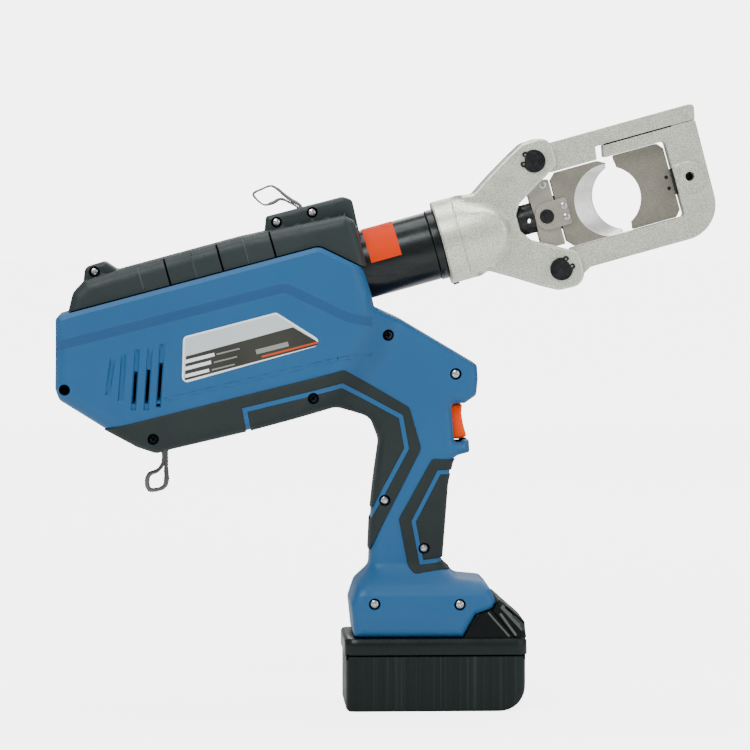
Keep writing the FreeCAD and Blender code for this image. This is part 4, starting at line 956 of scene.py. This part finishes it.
# Circlips with two eyes, on the pins' ends.
for label, (u, v), lean in (("upper", UPPER_PIN, 155), ("lower", LOWER_PIN, 25)):
    ears = []
    for turn in (-26, 26):
        angle = math.radians(lean + turn)
        ears.append((u + 7.0 * math.cos(angle), v + 7.0 * math.sin(angle)))
    gap = strip([(u + 5.2 * math.cos(math.radians(lean)), v + 5.2 * math.sin(math.radians(lean))),
                 (u + 11 * math.cos(math.radians(lean)), v + 11 * math.sin(math.radians(lean)))], 3.2)
    ring, bore = circle(u, v, 7.3, 56), circle(u, v, 5.5, 44)
    rounds, holes = [circle(*e, 1.95, 24) for e in ears], [circle(*e, 0.75, 14) for e in ears]

    def clip_keep(m):
        solid = (depth_in(m, ring) > 0) | (depth_in(m, rounds[0]) > 0) | (depth_in(m, rounds[1]) > 0)
        return solid & np.all([depth_in(m, hole) < 0 for hole in [gap, bore] + holes], 0)

    for side in (-1, 1):
        relief("circlip_%s_%s" % (label, "right" if side < 0 else "left"),
               [ring, bore, gap] + rounds + holes, clip_keep,
               level(15.6), level(14.5), "head", OXIDE, side, place=HEAD_PLACE, slot="black_steel",
               replaces=("pin_circlips",), angle=50)

# The blades' slanted crescents are ground bright; their near-white steel is also a painted highlight.
for name, centre in (("moving_blade", (115, -2.1)), ("fixed_blade", (115, -1.3))):
    mesh = frame["nodes"][name].data
    mesh.materials.append(BEVEL_HIGHLIGHT)
    back_turn = HEAD_PLACE.inverted()
    for face in mesh.polygons:
        c = back_turn @ face.center
        n = back_turn.to_3x3() @ face.normal
        radial = Vector((c.x / MM - centre[0], 0, c.z / MM - centre[1]))
        slanted = 0.05 < abs(n.y) < 0.985 and radial.length < 30 and radial.normalized().dot(n) < -0.1
        if slanted:
            face.material_index = 1

# ---------------------------------------------------------------- strap loops of worn woven tape


def tape(name, path, wide, thick, node):
    """A band swept along points (x, z, share of width, share of thickness), ribbed like woven tape."""
    path = np.array(path, float)
    even = []
    for k in range(len(path) - 1):
        p0, p1, p2, p3 = path[max(k - 1, 0)], path[k], path[k + 1], path[min(k + 2, len(path) - 1)]
        for t in np.linspace(0, 1, 14, endpoint=False):
            even.append(0.5 * (2 * p1 + (p2 - p0) * t + (2 * p0 - 5 * p1 + 4 * p2 - p3) * t ** 2
                               + (3 * p1 - p0 - 3 * p2 + p3) * t ** 3))
    even.append(path[-1])
    even = np.array(even)
    vertices, faces, round_count = [], [], 20
    for k, (x, z, w, t) in enumerate(even):
        ahead = even[min(k + 1, len(even) - 1)][:2] - even[max(k - 1, 0)][:2]
        ahead /= np.linalg.norm(ahead)
        rib = 1 + 0.10 * math.sin(k * 1.9) + 0.05 * math.sin(k * 0.61)
        for i in range(round_count):
            a = 2 * math.pi * i / round_count
            c, d = math.cos(a), math.sin(a)
            across = math.copysign(abs(c) ** 0.55, c) * wide / 2 * w * (1 + 0.03 * math.sin(k * 2.3 + i))
            out = math.copysign(abs(d) ** 0.8, d) * thick / 2 * t * rib
            vertices.append(((x - ahead[1] * out) * MM, across * MM, (z + ahead[0] * out) * MM))
    for k in range(len(even) - 1):
        for i in range(round_count):
            j = (i + 1) % round_count
            faces.append((k * round_count + i, k * round_count + j, (k + 1) * round_count + j,
                          (k + 1) * round_count + i))
    faces.append(tuple(range(round_count))[::-1])
    faces.append(tuple((len(even) - 1) * round_count + i for i in range(round_count)))
    add_mesh(name, vertices, faces, "housing", WEB, (node,), "webbing", 60)


tape("strap_front_tape", [
    (-83.8, 316, 0.8, 1.3), (-85.2, 321.4, 0.8, 1.5), (-90.5, 324.8, 0.85, 1.6), (-95.2, 328.3, 0.9, 1.4),
    (-99.6, 332.0, 1, 1.2), (-104.0, 334.0, 1, 0.9), (-109.5, 332.0, 1, 0.9), (-114.9, 329.0, 1, 1.0),
    (-112.5, 325.0, 1, 0.8), (-107.8, 321.9, 1, 0.8), (-102.6, 323.2, 1, 1.5), (-97.4, 325.6, 0.95, 1.2),
    (-91.5, 323.2, 0.85, 0.9), (-86.0, 319.6, 0.8, 0.8), (-84.6, 315.5, 0.8, 0.8),
], 9, 1.5, "strap_loop_front")
tape("strap_rear_tape", [
    (-172.6, 172, 0.8, 1), (-172.7, 163, 0.8, 1), (-173.2, 156.5, 0.85, 0.95), (-176.5, 151.9, 0.95, 0.9),
    (-182.0, 149.2, 1, 1.1), (-183.4, 144.0, 1, 1.2), (-181.8, 139.6, 1, 1.1), (-176.5, 139.6, 1, 0.9),
    (-172.2, 141.8, 1, 1.1), (-170.9, 146.5, 0.95, 1.3), (-171.2, 153.5, 0.85, 1.1),
    (-171.1, 163, 0.8, 1.0), (-171.2, 172, 0.8, 1),
], 9, 2.6, "strap_loop_rear")

# ---------------------------------------------------------------- springs
# Each spring is copied into an object of its own that rides on the body holding it.

# Each spring shortens towards its fixed end as its joint moves.
bodies = frame["record"]["behaviour"]["bodies"]
slant = (math.cos(TILT), 0, math.sin(TILT))
for node, joint, axis, end, keep in (
    ("return_spring", "ram_advance", slant, tuple(HEAD_PLACE @ Vector((-0.0108, 0, 0))), 0.44),
    ("trigger_spring", "trigger_pull", (1, 0, 0), (-0.0134, 0, 0.183), 0.5),
    ("button_spring", "button_press", (1, 0, 0), (0.0484, 0, 0.0492), 0.18),
):
    source = frame["nodes"][node]
    coil = bpy.data.objects.new(node + "_coil", source.data.copy())
    bpy.context.scene.collection.objects.link(coil)
    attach(coil, next(body for body, members in bodies.items() if node in members))
    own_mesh(coil)
    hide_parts(node)

# ---------------------------------------------------------------- camera, light and floor

BACKDROP = 5.6
VIEW_WIDTH = 0.4815
target = Vector((-0.0371, 0, 0.2127))
azimuth, elevation, distance = math.radians(-2.6), math.radians(3.0), 2.6
back = Vector((math.sin(azimuth) * math.cos(elevation), -math.cos(azimuth) * math.cos(elevation),
               math.sin(elevation)))
camera = bpy.data.objects.new("camera", bpy.data.cameras.new("camera"))
bpy.context.scene.collection.objects.link(camera)
camera.location = target + back * distance
camera.rotation_mode = "QUATERNION"
camera.rotation_quaternion = (-back).to_track_quat("-Z", "Y")
camera.data.sensor_width = 36
camera.data.lens = 36 * distance / VIEW_WIDTH
bpy.context.scene.camera = camera


def area_light(name, place, aim, size, power):
    data = bpy.data.lights.new(name, "AREA")
    data.shape = "RECTANGLE"
    data.size, data.size_y = size
    data.energy = power
    lamp = bpy.data.objects.new(name, data)
    bpy.context.scene.collection.objects.link(lamp)
    lamp.location = place
    lamp.rotation_mode = "QUATERNION"
    lamp.rotation_quaternion = (Vector(aim) - Vector(place)).to_track_quat("-Z", "Y")


area_light("key_light", (-0.7, -1.3, 1.5), (0, 0, 0.2), (1.0, 0.8), 27)
area_light("fill_light", (1.3, -1.0, 0.7), (0, 0, 0.2), (1.0, 1.2), 8)
area_light("top_light", (0.0, 0.2, 1.8), (0, 0, 0.2), (1.5, 1.0), 22)
area_light("back_light", (0.4, 1.6, 1.2), (0, 0, 0.25), (1.4, 1.0), 12)
world = bpy.data.worlds.new("soft_world")
world.use_nodes = True
world_nodes, world_links = world.node_tree.nodes, world.node_tree.links
soft, backdrop = world_nodes["Background"], world_nodes.new("ShaderNodeBackground")
soft.inputs[0].default_value = (0.93, 0.94, 0.95, 1)
soft.inputs[1].default_value = 0.5
backdrop.inputs[0].default_value = (1, 1, 1, 1)
backdrop.inputs[1].default_value = BACKDROP
path, mixed = world_nodes.new("ShaderNodeLightPath"), world_nodes.new("ShaderNodeMixShader")
world_links.new(path.outputs["Is Camera Ray"], mixed.inputs[0])
world_links.new(soft.outputs[0], mixed.inputs[1])
world_links.new(backdrop.outputs[0], mixed.inputs[2])
world_links.new(mixed.outputs[0], world_nodes["World Output"].inputs[0])
bpy.context.scene.world = world

floor_material, nodes, links, shader, coords = new_material("pale_floor")
links.new(ramp(nodes, links, noise(nodes, links, coords, 3, 2),
               [(0.3, (0.84, 0.84, 0.84)), (0.7, (0.87, 0.87, 0.87))]), shader.inputs["Base Color"])
shader.inputs["Roughness"].default_value = 0.8
glow = nodes.new("ShaderNodeEmission")
shine_mix = nodes.new("ShaderNodeAddShader")
seen = nodes.new("ShaderNodeLightPath")
away = nodes.new("ShaderNodeVectorMath")
away.operation = "LENGTH"
links.new(coords, away.inputs[0])
spread = nodes.new("ShaderNodeMapRange")
spread.inputs["From Min"].default_value, spread.inputs["From Max"].default_value = 0.6, 3.0
spread.inputs["To Min"].default_value, spread.inputs["To Max"].default_value = 4.0, 5.0
links.new(away.outputs["Value"], spread.inputs["Value"])
only_seen = nodes.new("ShaderNodeMath")
only_seen.operation = "MULTIPLY"
links.new(seen.outputs["Is Camera Ray"], only_seen.inputs[0])
links.new(spread.outputs[0], only_seen.inputs[1])
links.new(only_seen.outputs[0], glow.inputs[1])
out = next(n for n in nodes if n.type == "OUTPUT_MATERIAL")
links.new(shader.outputs[0], shine_mix.inputs[0])
links.new(glow.outputs[0], shine_mix.inputs[1])
links.new(shine_mix.outputs[0], out.inputs[0])
mesh = bpy.data.meshes.new("floor")
reach = 12
mesh.from_pydata([(-reach, -reach, 0), (reach, -reach, 0), (reach, reach, 0), (-reach, reach, 0)], [],
                 [(0, 1, 2, 3)])
mesh.materials.append(floor_material)
floor = bpy.data.objects.new("floor", mesh)
bpy.context.scene.collection.objects.link(floor)
